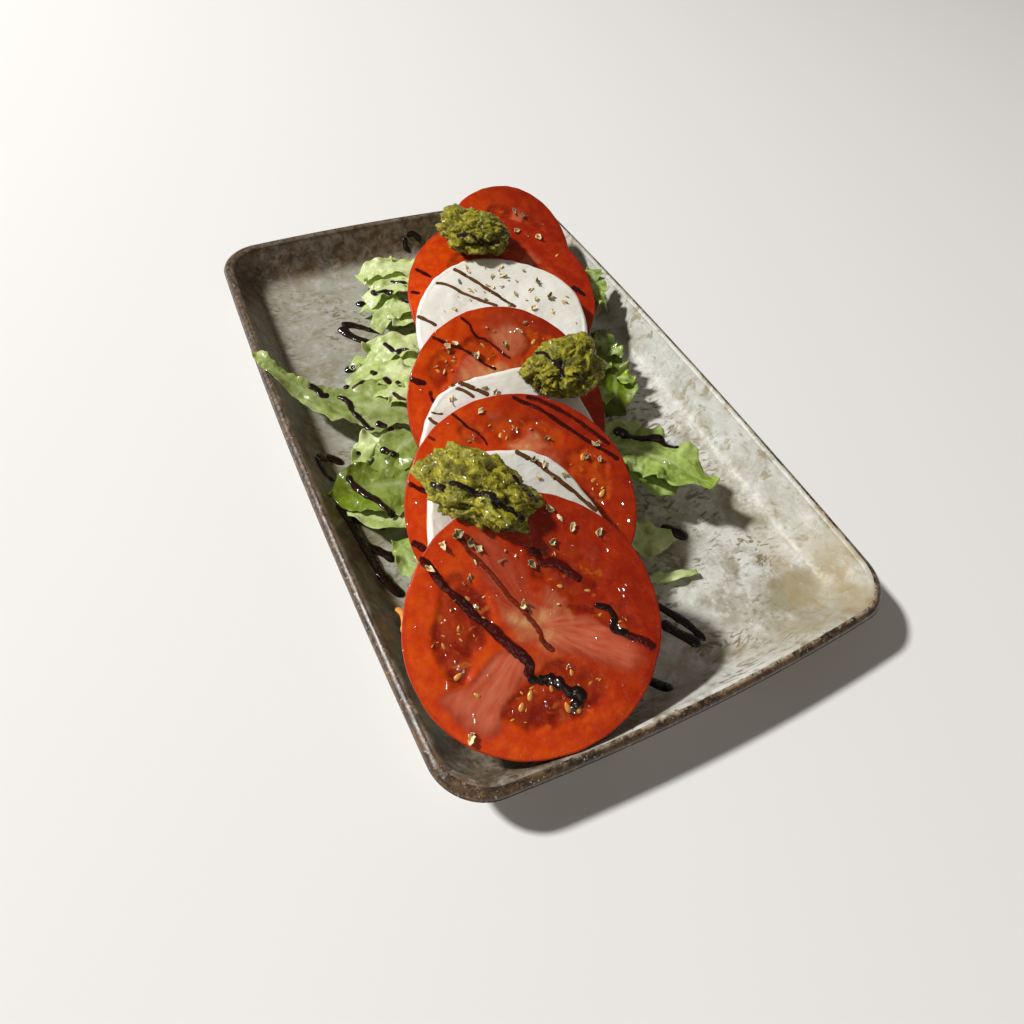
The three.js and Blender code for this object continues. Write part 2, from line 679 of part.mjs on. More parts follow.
/** Height of the bed's upper side, and null beside it. */
function bedTop(x, y) {
  const [fromX, fromY] = BED.front;
  const line = new THREE.Vector2(BED.back[0] - fromX, BED.back[1] - fromY);
  const length = line.length();
  line.normalize();
  const place = ((x - fromX) * line.x + (y - fromY) * line.y) / length;
  const across = (-(x - fromX) * line.y + (y - fromY) * line.x) / BED.halfWidth;
  const slack = 0.15; // the lumps widen it in places
  const inside = Math.abs(across) < 1 + slack && place > -slack / 3 && place < 1 + slack / 3;
  return inside ? bedHeight(x, y, across) : null;
}

function bedHeight(x, y, across) {
  const floor = plateTop(x, y) + GAP;
  const [size, height] = BED.lump;
  const lumps = height * noise(x / size, y / size, 0, 31);
  const mound = floor + BED.height * Math.max(0, 1 - Math.abs(across) ** 2.5) + lumps;
  const room = ceiling(x, y, BED.slicePast) - GAP - BED.leafRoom;
  return Math.max(floor + BED.rim, Math.min(mound, room));
}

function makeBed() {
  const [alongSteps, acrossSteps] = BED.steps;
  const [from, to] = [new THREE.Vector2(...BED.front), new THREE.Vector2(...BED.back)];
  const line = to.clone().sub(from).normalize();
  const [upper, lower] = [[], []];
  for (let i = 0; i <= alongSteps; i += 1) {
    const middle = from.clone().lerp(to, i / alongSteps);
    const end = 1 - Math.abs((2 * i) / alongSteps - 1) ** 6;
    const share = THREE.MathUtils.lerp(BED.endShare, 1, end);
    const half = BED.halfWidth * share * (1 + 0.1 * noise(i / 3, 0, 0, 41));
    const rows = [[], []];
    for (let j = 0; j <= acrossSteps; j += 1) {
      const across = (2 * j) / acrossSteps - 1;
      const [x, y] = [middle.x - line.y * across * half, middle.y + line.x * across * half];
      const base = plateTop(x, y) + GAP;
      const rim = j === 0 || j === acrossSteps || i === 0 || i === alongSteps;
      rows[0].push(new THREE.Vector3(x, y, rim ? base + BED.rim : bedHeight(x, y, across)));
      rows[1].push(new THREE.Vector3(x, y, base));
    }
    upper.push(rows[0]);
    lower.push(rows[1]);
  }
  return node(BED.name, slab(upper, lower), LEAF());
}

/** A thin wavy leaf between the plate or the bed below it and the slices above it. */
function makeLeaf({ name, spine, widths, ruffle, waves, rise, steps }, index) {
  const curve = new THREE.CatmullRomCurve3(spine.map((point) => new THREE.Vector3(...point)));
  const [alongSteps, acrossSteps] = steps;
  const middle = [];
  for (let i = 0; i <= alongSteps; i += 1) {
    const place = i / alongSteps;
    const centre = curve.getPoint(place);
    const tangent = curve.getTangent(place).setZ(0).normalize();
    const half = along(widths, place);
    const row = [];
    for (let j = 0; j <= acrossSteps; j += 1) {
      const across = (2 * j) / acrossSteps - 1;
      const outer = across ** 2;
      const wave = Math.sin(2 * Math.PI * waves * place + (across > 0 ? 0 : 1.9) + index);
      const reach = across * half * (1 + 0.14 * outer * noise(i / 1.5, j, index, 51));
      const x = centre.x - tangent.y * reach;
      const y = centre.y + tangent.x * reach;
      const z = centre.z + ruffle * outer * wave + rise * half * outer;
      row.push(new THREE.Vector3(x, y, settle(x, y, z)));
    }
    middle.push(row);
  }
  const shifted = (side) => middle.map((row, i) => row.map((v, j) => {
    const [before, after] = [middle[Math.max(i - 1, 0)][j], middle[Math.min(i + 1, alongSteps)][j]];
    const [right, left] = [row[Math.max(j - 1, 0)], row[Math.min(j + 1, acrossSteps)]];
    const normal = after.clone().sub(before).cross(left.clone().sub(right)).normalize();
    return v.clone().addScaledVector(normal, (side * LEAF_THICKNESS) / 2);
  }));
  return node(name, slab(shifted(1), shifted(-1)), LEAF());
}

/** Keeps a point of a leaf over the plate and the bed and under the slices. */
function settle(x, y, z) {
  const room = LEAF_ROOM + LEAF_THICKNESS / 2;
  const lowest = Math.max(plateTop(x, y), bedTop(x, y) ?? 0) + room;
  const highest = ceiling(x, y, LEAF_SLICE_PAST) - room;
  return Math.min(Math.max(z, lowest), Math.max(highest, lowest));
}

function makeShred() {
  const [from, to] = [new THREE.Vector3(...SHRED.from), new THREE.Vector3(...SHRED.to)];
  const arch = from.clone().lerp(to, 0.5).add(new THREE.Vector3(1.5, 0, 1.2));
  const section = new THREE.Shape();
  section.absellipse(0, 0, SHRED.height / 2, SHRED.width / 2, 0, 2 * Math.PI);
  const extrudePath = new THREE.CatmullRomCurve3([from, arch, to]);
  const shred = new THREE.ExtrudeGeometry(section, { extrudePath, steps: 5, curveSegments: 3 });
  const bare = shred.deleteAttribute("normal").deleteAttribute("uv");
  return node(SHRED.name, mergeVertices(bare, 1e-3), CARROT());
}

// ---------------------------------------------------------------- the salad

const salad = new THREE.Group();
salad.add(makePlate());
salad.add(makeBed());
LEAVES.forEach((leaf, index) => salad.add(makeLeaf(leaf, index)));
salad.add(makeShred());
SLICES.forEach((slice, index) => salad.add(makeSlice(slice, index)));
DOLLOPS.forEach((dollop) => salad.add(makeDollop(dollop)));

export default salad;
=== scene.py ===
"""Caprese salad on its rectangular stoneware plate.

Lengths are in millimetres in the model's own frame, +Z up, and turn to metres where a mesh is made.
A piece that replaces a solid stands where that solid does. Glaze, seeds, flakes and drops lie on them.
"""

import math

import bmesh
import bpy
import numpy as np
from mathutils import Matrix, Vector
from mathutils.bvhtree import BVHTree


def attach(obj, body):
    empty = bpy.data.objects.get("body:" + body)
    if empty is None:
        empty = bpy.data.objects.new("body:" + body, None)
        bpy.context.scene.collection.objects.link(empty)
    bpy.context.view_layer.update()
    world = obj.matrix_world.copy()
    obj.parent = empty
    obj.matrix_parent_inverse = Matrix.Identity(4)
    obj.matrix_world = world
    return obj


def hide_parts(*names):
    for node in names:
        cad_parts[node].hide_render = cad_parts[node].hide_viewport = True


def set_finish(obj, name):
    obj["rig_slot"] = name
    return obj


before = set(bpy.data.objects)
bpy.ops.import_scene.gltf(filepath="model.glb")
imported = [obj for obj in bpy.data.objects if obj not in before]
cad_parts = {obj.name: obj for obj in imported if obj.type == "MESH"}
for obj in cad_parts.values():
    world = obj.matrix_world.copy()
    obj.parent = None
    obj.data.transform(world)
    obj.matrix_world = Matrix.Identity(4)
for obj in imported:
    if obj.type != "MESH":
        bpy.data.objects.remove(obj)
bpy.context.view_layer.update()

MM = 0.001

# ---------------------------------------------------------------- driving sizes

# fitted to the plate's outline in the photograph: millimetres and degrees
CAMERA = {
    "place": (-104.884, -172.814, 210.418),
    "azimuth": -33.523,
    "elevation": 52.361,
    "roll": 8.953,
    "lens": 24.27,
    "sensor": 36,
}

PLATE = {
    "width": 171,
    "length": 274.6,
    "side_bow": 3.1,
    "end_bow": 3.9,
    "corner": 15,
    "corner_ease": 0.35,
    "arc_steps": 16,
    "side_steps": (34, 22),
    "widest_at": 19,
    # distance in from the widest edge, and height
    "underside": [(15.5, 0), (13, 0.7), (8.5, 5.2), (0.6, 17.3), (0, 19), (0.6, 20.5), (2.2, 21.3)],
    "inside": [(3.6, 20.6), (4.6, 19), (10.2, 10.8), (13.2, 8.1), (17, 6.6), (21, 6)],
}

# olive stains in the glaze, and one patch of painted shadow: place, half sizes and strength; the second patch
# darkens the
# # floor where the bright leaf's shadow falls. BURNT_CORNER is the middle of the burnt part of the wall, and
# the distances from it between which the burning fades.
STAINS_AND_SHADOW = [(60, -113, 15, 10, 1), (62, -72, 9, 16, 0.8)]
# the left and back walls get the same brown as painted shade
BURNT_CORNER = (-80, -132, 20, 56)

TOMATO = {
    "slot": "tomato",
    "thickness": 7.5,
    # share of the outline's radius, and height over the cut face, from below to above
    "side": [(0.9, -7.5), (0.925, -7.2), (0.958, -5.9), (0.985, -3.9), (0.999, -1.5),
             (1, -0.5), (0.995, -0.08)],
}
MOZZARELLA = {
    "slot": "mozzarella", "thickness": 6,
    "side": [
        (0.93, -6), (0.962, -5.7), (0.985, -4.8), (0.998, -3), (0.997, -1.4), (0.985, -0.5), (0.96, -0.06),
    ],
}

# centre of the upper face, degrees that the front edge and the left edge are down, radius, and the
# outline's lobes as (number round the outline, height, place in degrees); all of it was measured by
# fitting tilted discs to the slices in the photograph. fresh is how orange a tomato's flesh and gel are.
SLICES = {
    "tomato_slice_1": dict(
        kind=TOMATO, centre=(38.9, 81.3, 33.1), pitch=25.4, roll=0, radius=29.7, lobes=[(3, 0.9, -59)],
    ),
    "tomato_slice_2": dict(
        kind=TOMATO, centre=(19, 47.2, 32.8), pitch=18.6, roll=4.2, radius=40.3,
        lobes=[(2, 0.15, 5), (3, 0.25, -17)],
    ),
    "mozzarella_slice_1": dict(
        kind=MOZZARELLA, centre=(8.3, 25.1, 35.3), pitch=15.3, roll=4.9, radius=35.3,
        lobes=[(3, 0.4, 0), (4, 0.4, 18), (5, 0.3, 14)],
    ),
    "tomato_slice_3": dict(
        kind=TOMATO, centre=(-8.4, -15.3, 34.3), pitch=29, roll=-1, radius=37.9, fresh=0.9,
        lobes=[(2, 0.15, 84), (3, 0.4, -50)],
    ),
    "mozzarella_slice_2": dict(
        kind=MOZZARELLA, centre=(-18.5, -39.4, 34), pitch=25.7, roll=3.8, radius=34,
        lobes=[(2, 0.7, 26), (3, 0.7, 50), (5, 1.35, -26)],
    ),
    "tomato_slice_4": dict(
        kind=TOMATO, centre=(-25.6, -60, 35.2), pitch=27.7, roll=4.8, radius=38.5, fresh=0.7,
        lobes=[(3, 0.2, -1)],
    ),
    "mozzarella_slice_3": dict(
        kind=MOZZARELLA, centre=(-34.6, -73.2, 39.6), pitch=26.6, roll=-1.1, radius=29.5,
        lobes=[(2, 0.8, -58), (3, 0.85, -17), (5, 1.1, -24)],
    ),
    "tomato_slice_5": dict(
        kind=TOMATO, centre=(-43.4, -100.6, 39.2), pitch=28.2, roll=6.2, radius=37.2, fresh=0.1,
        lobes=[(3, 0.4, -35)],
    ),
}

# seed chambers: outlines in the slice's own plane, or (middle, width) in degrees for a plain one
CHAMBERS = {
    "tomato_slice_1": [(20, 44), (84, 40), (150, 46), (222, 44), (300, 48)],
    "tomato_slice_2": [(8, 42), (62, 38), (118, 44), (180, 44), (240, 40), (305, 48)],
    "tomato_slice_3": [
        [(-26, 15), (-26, 19), (-21, 24), (-15, 26), (-12, 24), (-13, 20), (-17, 17), (-19, 14), (-24, 11)],
        [(-11, 26), (-5, 28), (0, 26), (2, 22), (2, 17), (-2, 16), (-6, 20)],
        [(16, 27), (20, 26), (26, 22), (22, 18), (16, 17), (12, 15), (11, 17), (15, 21)], (182, 40),
        (238, 42), (300, 46), (350, 34),
    ],
    "tomato_slice_4": [
        [
            (-1, 31), (6, 30), (13, 27), (19, 23), (21, 18), (17, 15), (14, 18), (12, 24), (7, 21), (1, 22),
            (-2, 27),
        ],
        [(-11, 34), (-7, 32), (-4, 27), (-5, 23), (-9, 24), (-13, 29)],
        [(17, 10), (23, 13), (28, 13), (32, 8), (32, 0), (28, -6), (23, -8), (20, -2), (18, 4)], (170, 42),
        (212, 44), (288, 52),
    ],
    "tomato_slice_5": [
        [(-20, 21), (-14, 20), (-11, 12), (-11, 4), (-17, -1), (-24, -9), (-28, -6), (-29, 2), (-26, 11)],
        [(4, 13), (4, 19), (10, 21), (17, 17), (23, 10), (24, 4), (18, 1), (13, 2), (9, 7)],
        [(11, 1), (17, 0), (23, -3), (28, -9), (28, -13), (21, -8), (14, -3)],
        [
            (-8, -14), (2, -11), (6, -13), (11, -18), (15, -24), (10, -28), (1, -29), (-7, -28), (-14, -25),
            (-18, -20), (-14, -16),
        ],
    ],
}
# pale walls between the chambers: brightness, then the outline in the slice's own plane
WALLS = {
    "tomato_slice_5": [
        (1, [
            (-14, -4), (-9, -5.6), (-6.3, -9.4), (-9, -13), (-14, -16), (-18, -19.5), (-21.5, -25),
            (-27, -23), (-31, -15.5), (-33, -9.3), (-29, -8.5), (-22.4, -8.2), (-17, -5.5),
        ]),
        (0.45, [
            (-9, 33.5), (-4.3, 29.3), (-1, 24), (2.6, 15), (1, 9.4), (3.2, 4.6), (1.7, -1), (-2.8, -4.3),
            (-5.7, -2), (-7.6, 3), (-8, 9), (-9.2, 14.2), (-9.8, 21.2), (-11, 28), (-12, 32),
        ]),
        (0.85, [
            (2.7, 1.6), (12, -1.8), (17.6, -4.5), (21.7, -11.2), (25.5, -15.2), (30, -21), (26.5, -24.5),
            (21, -22.4), (16, -18.4), (10, -13.6), (4.3, -9.5), (1, -4.5),
        ]),
        (0.6, [(3.6, 3.8), (5.5, 8.8), (9.9, 11.6), (15, 11), (14.8, 7.3), (12, 3.3), (8, 1.6)]),
        (0.35, [(-5.2, -10.7), (-2, -7), (3.7, -9.3), (3.8, -12.4), (-0.4, -13.2), (-4, -14.3)]),
        (0.5, [(17.4, 12), (21, 14.6), (24.3, 14), (21.3, 10), (18.2, 7.3)]),
    ],
    "tomato_slice_4": [
        (1, [
            (2.6, 20.6), (2.7, 24), (1.4, 27.3), (3.2, 27.2), (4.5, 23.8), (5.6, 21.2), (8.8, 22),
            (10.6, 24.8), (11.8, 24.9), (10.8, 21.8), (12, 20.2), (13.6, 23.6), (14.8, 23.6), (13.3, 19.2),
            (13.8, 17), (9.3, 16), (4, 16),
        ]),
        (0.9, [(-2.2, 34.8), (0.4, 33.6), (2.5, 31.5), (1, 29.6), (-0.8, 30.6), (-1.2, 32.6)]),
        (0.9, [(-10, 31.6), (-7.5, 30.4), (-8.6, 27.5), (-10.2, 26), (-11.2, 28.3)]),
        (0.7, [(13, 15), (17, 13), (16, 3), (20, -6), (14, -4), (9, 6)]),
    ],
    "tomato_slice_3": [
        (0.8, [
            (1.8, 27.5), (5, 29), (11.6, 30), (14.8, 26.8), (14.5, 22.5), (10.6, 18.3), (7.4, 17),
            (4.6, 19), (2.4, 23.2),
        ]),
        (1, [
            (-14.5, 17.7), (-12, 20.3), (-8, 21.5), (-6, 18), (-3.7, 15), (-3, 12), (-11.8, 11.8),
            (-17.7, 12),
        ]),
        (0.6, [
            (0.4, 35), (9, 35.3), (21, 31), (27, 25.3), (26.5, 22), (22, 24.7), (17.6, 28.3), (12, 30.8),
            (3.5, 31.8),
        ]),
    ],
}
# palest patches: place, half sizes, and strength
PALE = {
    "tomato_slice_1": [(0, 0, 6, 5, 0.35)],
    "tomato_slice_2": [(0, 0, 7, 6, 0.8)],
    "tomato_slice_3": [(-3, 12, 8, 4.5, 1), (-8, 15, 5, 3, 0.7), (8, 24, 6, 5, 0.35)],
    "tomato_slice_4": [(6, 17, 5, 4, 0.8), (3.7, 20, 1.5, 4, 0.6), (12, 21, 4, 1.5, 0.5)],
    "tomato_slice_5": [
        (-2, 1, 3.2, 3.2, 1), (4, 1, 4, 2.6, 0.8), (-5, 4, 2.2, 2.4, 0.9), (2.5, -4.5, 3, 2.5, 0.6),
    ],
}
# seeds: (right, back) on the upper face, and direction in degrees
SEEDS = {
    "tomato_slice_5": [
        (3.5, -26, 70), (0.5, -24.5, 95), (9, -21, 20), (-11.5, -19.5, 50), (-22, -12, 130),
        (-26, 3.5, 100), (-20.5, 6.5, 60), (10.5, 7.5, 150), (-15.5, 13.5, 120), (5, -16.5, 80),
        (-8.2, -17.6, 60), (18.6, -4.3, 20), (-25, -5.5, 20), (18, 3.5, 160), (-2, -18, 85),
    ],
    "tomato_slice_4": [(6, 26.4, 100), (1.2, 25, 60), (25, 9.5, 70), (26, 1, 20), (27, -4, 40)],
    "tomato_slice_3": [(-22, 19, 130), (-15, 21, 150), (-2, 24, 110), (18, 21, 40)],
    "tomato_slice_2": [(27, 24, 40), (31.5, 12, 20)],
}

# threads of glaze on a slice: width, how thin the glaze is, then (right, back) on its upper face
THREADS = {
    "tomato_slice_5": [
        ((2.3, 3.5), 0.42, [
            (-24, 28.6), (-22.3, 24.5), (-20.6, 19), (-17.2, 12.8), (-14.8, 7.6), (-12.3, 4.2),
            (-9.5, -1.8), (-6.4, -7.2), (-5.6, -10), (-7.5, -12.6),
        ]),
        (2.1, 0.05, [
            (-7.5, -12.6), (-4.8, -14.6), (-1.1, -15.1), (1.1, -17.8), (2.4, -21.1), (5.1, -20.9),
            (5.8, -23.4), (2.8, -25), (1, -25.6),
        ]),
        (1.8, 1, [
            (-11.6, 31.8), (-10.9, 26.6), (-8.8, 22.1), (-6.2, 15.5), (-3.7, 8.4), (-0.9, 2.4), (0.5, -2.5),
            (0.3, -5.5), (2.6, -8.9),
        ]),
        (3.1, 0.5, [(6, 20.6), (7.7, 18), (8, 15.4), (11.5, 14.2), (14.7, 10.5), (17.2, 6.4)]),
        (1.9, 0.1, [
            (18, -0.9), (20.1, -2.3), (22, -3.7), (22.6, -6.4), (21, -8.7), (22, -10.3), (24.6, -12.3),
        ]),
        ((2.2, 3.2), 0.4, [(23.2, -11.2), (26, -13.6), (28.1, -15.6), (30.9, -19)]),
    ],
    "tomato_slice_4": [
        (1.5, 0.45, [(9, 36), (12.6, 33), (17, 29), (21.8, 22.9), (29, 14), (37, 4.5)]),
        (1.7, 0.45, [(13.7, 35), (18, 32), (21, 29.3), (27, 23), (36, 10.5)]),
        (1.2, 0.7, [(-12, 36.7), (-10.5, 34.3), (-8.2, 30.6), (-6, 28.2), (-4.7, 25), (-4.4, 23)]),
        (1.7, 0.4, [(-33, 19), (-30.3, 16.8), (-27.5, 14)]),
        (2.4, 0.35, [(-38, 1.5), (-36.6, 0), (-34.5, -2.6)]),
        (1.2, 0.8, [(-22.2, 31.7), (-21, 30.7), (-19.8, 29.5)]),
    ],
    "mozzarella_slice_3": [(1.6, 0.5, [(9, 26.6), (15, 20), (21.8, 10.1), (28, 0)])],
    "mozzarella_slice_2": [
        (1.7, 0.45, [(-9.3, 32), (-5.6, 29), (-0.3, 24.2)]),
        (1.4, 0.6, [(-11.9, 31.8), (-8.8, 28.7), (-5.4, 24.8)]),
        (0.8, 0.6, [(-22, 24.3), (-20, 23.2), (-18, 22.5)]),
        (1.2, 0.9, [(-23.3, 22.8), (-22.4, 21), (-21, 19.4)]),
    ],
    "tomato_slice_3": [
        (1.4, 0.6, [
            (-19.7, 31.6), (-17.2, 29.4), (-14.4, 27), (-10.3, 24.5), (-6.7, 20.7), (-3.3, 16.2),
            (-0.5, 14),
        ]),
        (1.4, 0.6, [
            (-7, 36.2), (-4.7, 32.8), (-3.7, 28.8), (-0.5, 26), (2.2, 22.8), (4.2, 19), (6.4, 16.6),
        ]),
        (2.2, 0.45, [(-32.9, 18.8), (-30.2, 16.7), (-27.7, 15.2)]),
        (1.7, 0.5, [(-27.4, 12.6), (-27.8, 10), (-27, 8)]),
    ],
    "mozzarella_slice_1": [
        (1.6, 0.45, [(-8.4, 33.2), (0, 20.6), (8.6, 7)]),
        (1.5, 0.5, [(-18, 28.4), (-13.7, 25.7), (-7.2, 17.9), (1.8, 9.8)]),
        (1.7, 0.5, [(-30.8, 15.6), (-28.2, 12.3), (-25.2, 8.4)]),
    ],
    "tomato_slice_2": [
        (1.7, 0.5, [(-31.2, 22.8), (-28.7, 20), (-25.9, 16.7)]),
        (1.8, 0.5, [(-37.2, 12.3), (-35.6, 11.8), (-33.5, 10.7)]),
        (2.2, 0.3, [(31, -4.5), (33, -7.4), (35, -10.8)]),
    ],
}

# threads of glaze on the plate: width, then (x, y)
PLATE_THREADS = [
    (2.6, [(6.5, 129.5), (10.5, 130), (14, 127.6)]), (2.6, [(6.2, 129.5), (5, 127), (6.5, 124.2)]),
    (4.4, [(-31.5, 96.4), (-29.5, 95.4), (-27.5, 94.4)]),
    ((4.6, 1.7), [(-42.6, 82.6), (-40.6, 82.9), (-38, 81.6), (-34.4, 78.8), (-31, 75.4), (-27, 71.5)]),
    ((5, 3.4), [(-43, 82), (-42.8, 79), (-41.4, 75.6), (-38.8, 71.8), (-35.6, 68.8), (-32.5, 66)]),
    (4.6, [(-49, 56), (-48.4, 54), (-47.8, 52)]),
    ((4, 2.8), [(-67.6, 3.4), (-70.2, 6), (-73, 7), (-76.8, 5.2)]),
    ((3.4, 2.6), [(-77, 4.6), (-76.8, -1.2), (-75.4, -4), (-73.4, -5)]),
    (4.2, [(-76.9, -19.3), (-75, -27), (-74, -35), (-72.8, -44), (-71.4, -51.4), (-68, -60)]),
    (3, [(-75.6, -21), (-72, -24.6), (-66.6, -26.8), (-63.4, -31.2)]),
    (3.8, [(-73, -35.6), (-67.6, -41.4), (-64.4, -44.8)]), (2.6, [(48.8, -28), (54.2, -32.4), (59, -41)]),
    (4.4, [(31.4, -69.2), (34.6, -72.4), (38, -77.8)]),
    (3.2, [(10.6, -96.4), (16.4, -107.2), (18.8, -115.2)]),
    (3.6, [(8.4, -103.2), (12, -109.8), (16.4, -115.8)]), (3.4, [(-8, -118.6), (-5, -123), (-3, -126)]),
]

# threads that fall on lettuce and pesto, laid on whatever is highest: width, thinness, (x, y)
TOP_THREADS = [
    (2, 0.1, [(-18.6, 94.5), (-15.3, 88.4), (-12.8, 86), (-10.6, 83.8)]),
    (2.7, 0, [(-26, 88.5), (-24.4, 85), (-20, 83), (-17.5, 77), (-14.3, 72)]),
    (2.6, 0, [(-34.2, 49.7), (-33, 46.1), (-31.9, 42.5), (-29.1, 42), (-26.4, 40.7)]),
    (2.2, 0.1, [(-48.5, 50.5), (-47, 44.6), (-46.3, 39.2)]), (2.6, 0, [(-44.6, 36.5), (-43.4, 32.5)]),
    (2.9, 0, [(-41.2, 29.4), (-40.6, 24.2)]), (2, 0.1, [(-38.4, 24.5), (-37.2, 22)]),
    (3.4, 0, [(-69.8, 36.2), (-67.9, 34.2), (-66.2, 29.8), (-63.8, 29)]),
    (2, 0, [(-68.7, 35.6), (-64.5, 36.2), (-61, 35.7), (-58.7, 33.5), (-55.2, 30.8)]),
    (2.1, 0, [
        (-61.6, 27), (-59.3, 25), (-58.1, 22.2), (-58.4, 16.7), (-57.1, 12.1), (-56, 6.6), (-54.2, 4.3),
    ]),
    (3, 0, [(-52.8, 7.6), (-50.9, 5.2), (-49.6, 3)]), (2.2, 0.2, [(-49.6, 3), (-47.1, 1.6), (-44.6, 0)]),
    (1.7, 0.2, [(-41.4, 19.2), (-40.3, 14.3), (-38.9, 11.5)]),
    (1.3, 0.15, [(-54.9, 29.4), (-51.8, 29.6), (-48.4, 30.7), (-44.9, 30.1)]),
    (2.6, 0.1, [(-55.4, -4.4), (-53.5, -7.3), (-51.6, -10.6)]), (2.2, 0.1, [(-62.9, -0.6), (-62.5, -2.2)]),
    (2.6, 0, [
        (-69.8, -9.1), (-69.3, -12.5), (-68.1, -17), (-66.3, -21.5), (-64.5, -25.8), (-63.3, -29.4),
        (-61.6, -33.2),
    ]),
    (4.2, 0, [(-62.6, -31), (-61.2, -34)]),
    (3.3, 0, [(29.5, -31), (33.6, -36.3), (37.8, -41.4), (42.7, -45.2), (46.8, -50)]),
    (1.6, 0, [(3.8, 63.4), (8.1, 61.1), (10.3, 57.6), (16.2, 56.8), (20.5, 56.5)]),
    (1.9, 0, [(-1.8, -15.4), (0.4, -16.6), (2.3, -19.5), (3, -22.5), (3.4, -26.1), (3.3, -28.4)]),
    (1.6, 0, [(5.5, -29.2), (8, -30), (11.8, -30.2)]),
    (1.9, 0, [(-56.9, -56.6), (-52.7, -63.6), (-46.5, -69.1), (-42.5, -74.1), (-36.9, -78.5)]),
    (1.6, 0, [(-36.3, -66.4), (-34.5, -70.9), (-31.4, -74.2)]),
]

# pesto: centre, half sizes, turn in degrees, a seed for the lumps; the places (x, y) of its knobs;
# and dents and spurs in the outline as (share of the radius, degree, width in degrees)
DOLLOPS = {
    "pesto_1": dict(
        centre=(14.5, 71, 49.5), half=(15.5, 15, 7.5), turn=20, seed=3,
        knobs=[(6.9, 79.7), (12.5, 71), (21.5, 68.2), (6.6, 58), (18.8, 59), (3, 69)],
        dents=[(-0.28, -171, 20), (0.12, -60, 26), (-0.12, -15, 18), (-0.2, 55, 30), (-0.06, 95, 20)],
    ),
    "pesto_2": dict(
        centre=(8.5, -20, 50.5), half=(17, 12.5, 8.5), turn=24, seed=11, pocket=(3.5, -24, 0.24, 0.3),
        knobs=[(-3.5, -24), (9.5, -16.5), (17.5, -14), (16, -24), (5.5, -31), (-2.5, -17)],
        dents=[(-0.06, 165, 35), (-0.2, -125, 32), (-0.14, -35, 34), (-0.08, 12, 20), (-0.04, 60, 40)],
    ),
    "pesto_3": dict(
        centre=(-45.5, -63, 55), half=(20.5, 14.5, 10.5), turn=-52, seed=23,
        knobs=[
            (-48, -54), (-42.5, -59), (-54, -54.5), (-54.5, -66), (-47, -75), (-39, -67), (-41, -81),
            (-35.5, -77),
        ],
        dents=[
            (-0.24, 190, 30), (0.04, 124, 13), (-0.2, 152, 16), (0.1, 91, 18), (-0.22, -8, 32),
            (-0.3, -122, 24), (-0.1, -80, 22),
        ],
    ),
}
# lumps: number over half a dollop, and height as a share of its half size
LUMPS = [(1.7, 0.14), (4.3, 0.12)]
FOLDS = [(3.3, 0.055), (7, 0.042), (14, 0.018), (27, 0.009)]
KNOB = dict(height=0.13, crevice=0.075, width=0.1)
DOLLOP_TRIM = 0.085  # the folds stand proud of the plain lump by this share
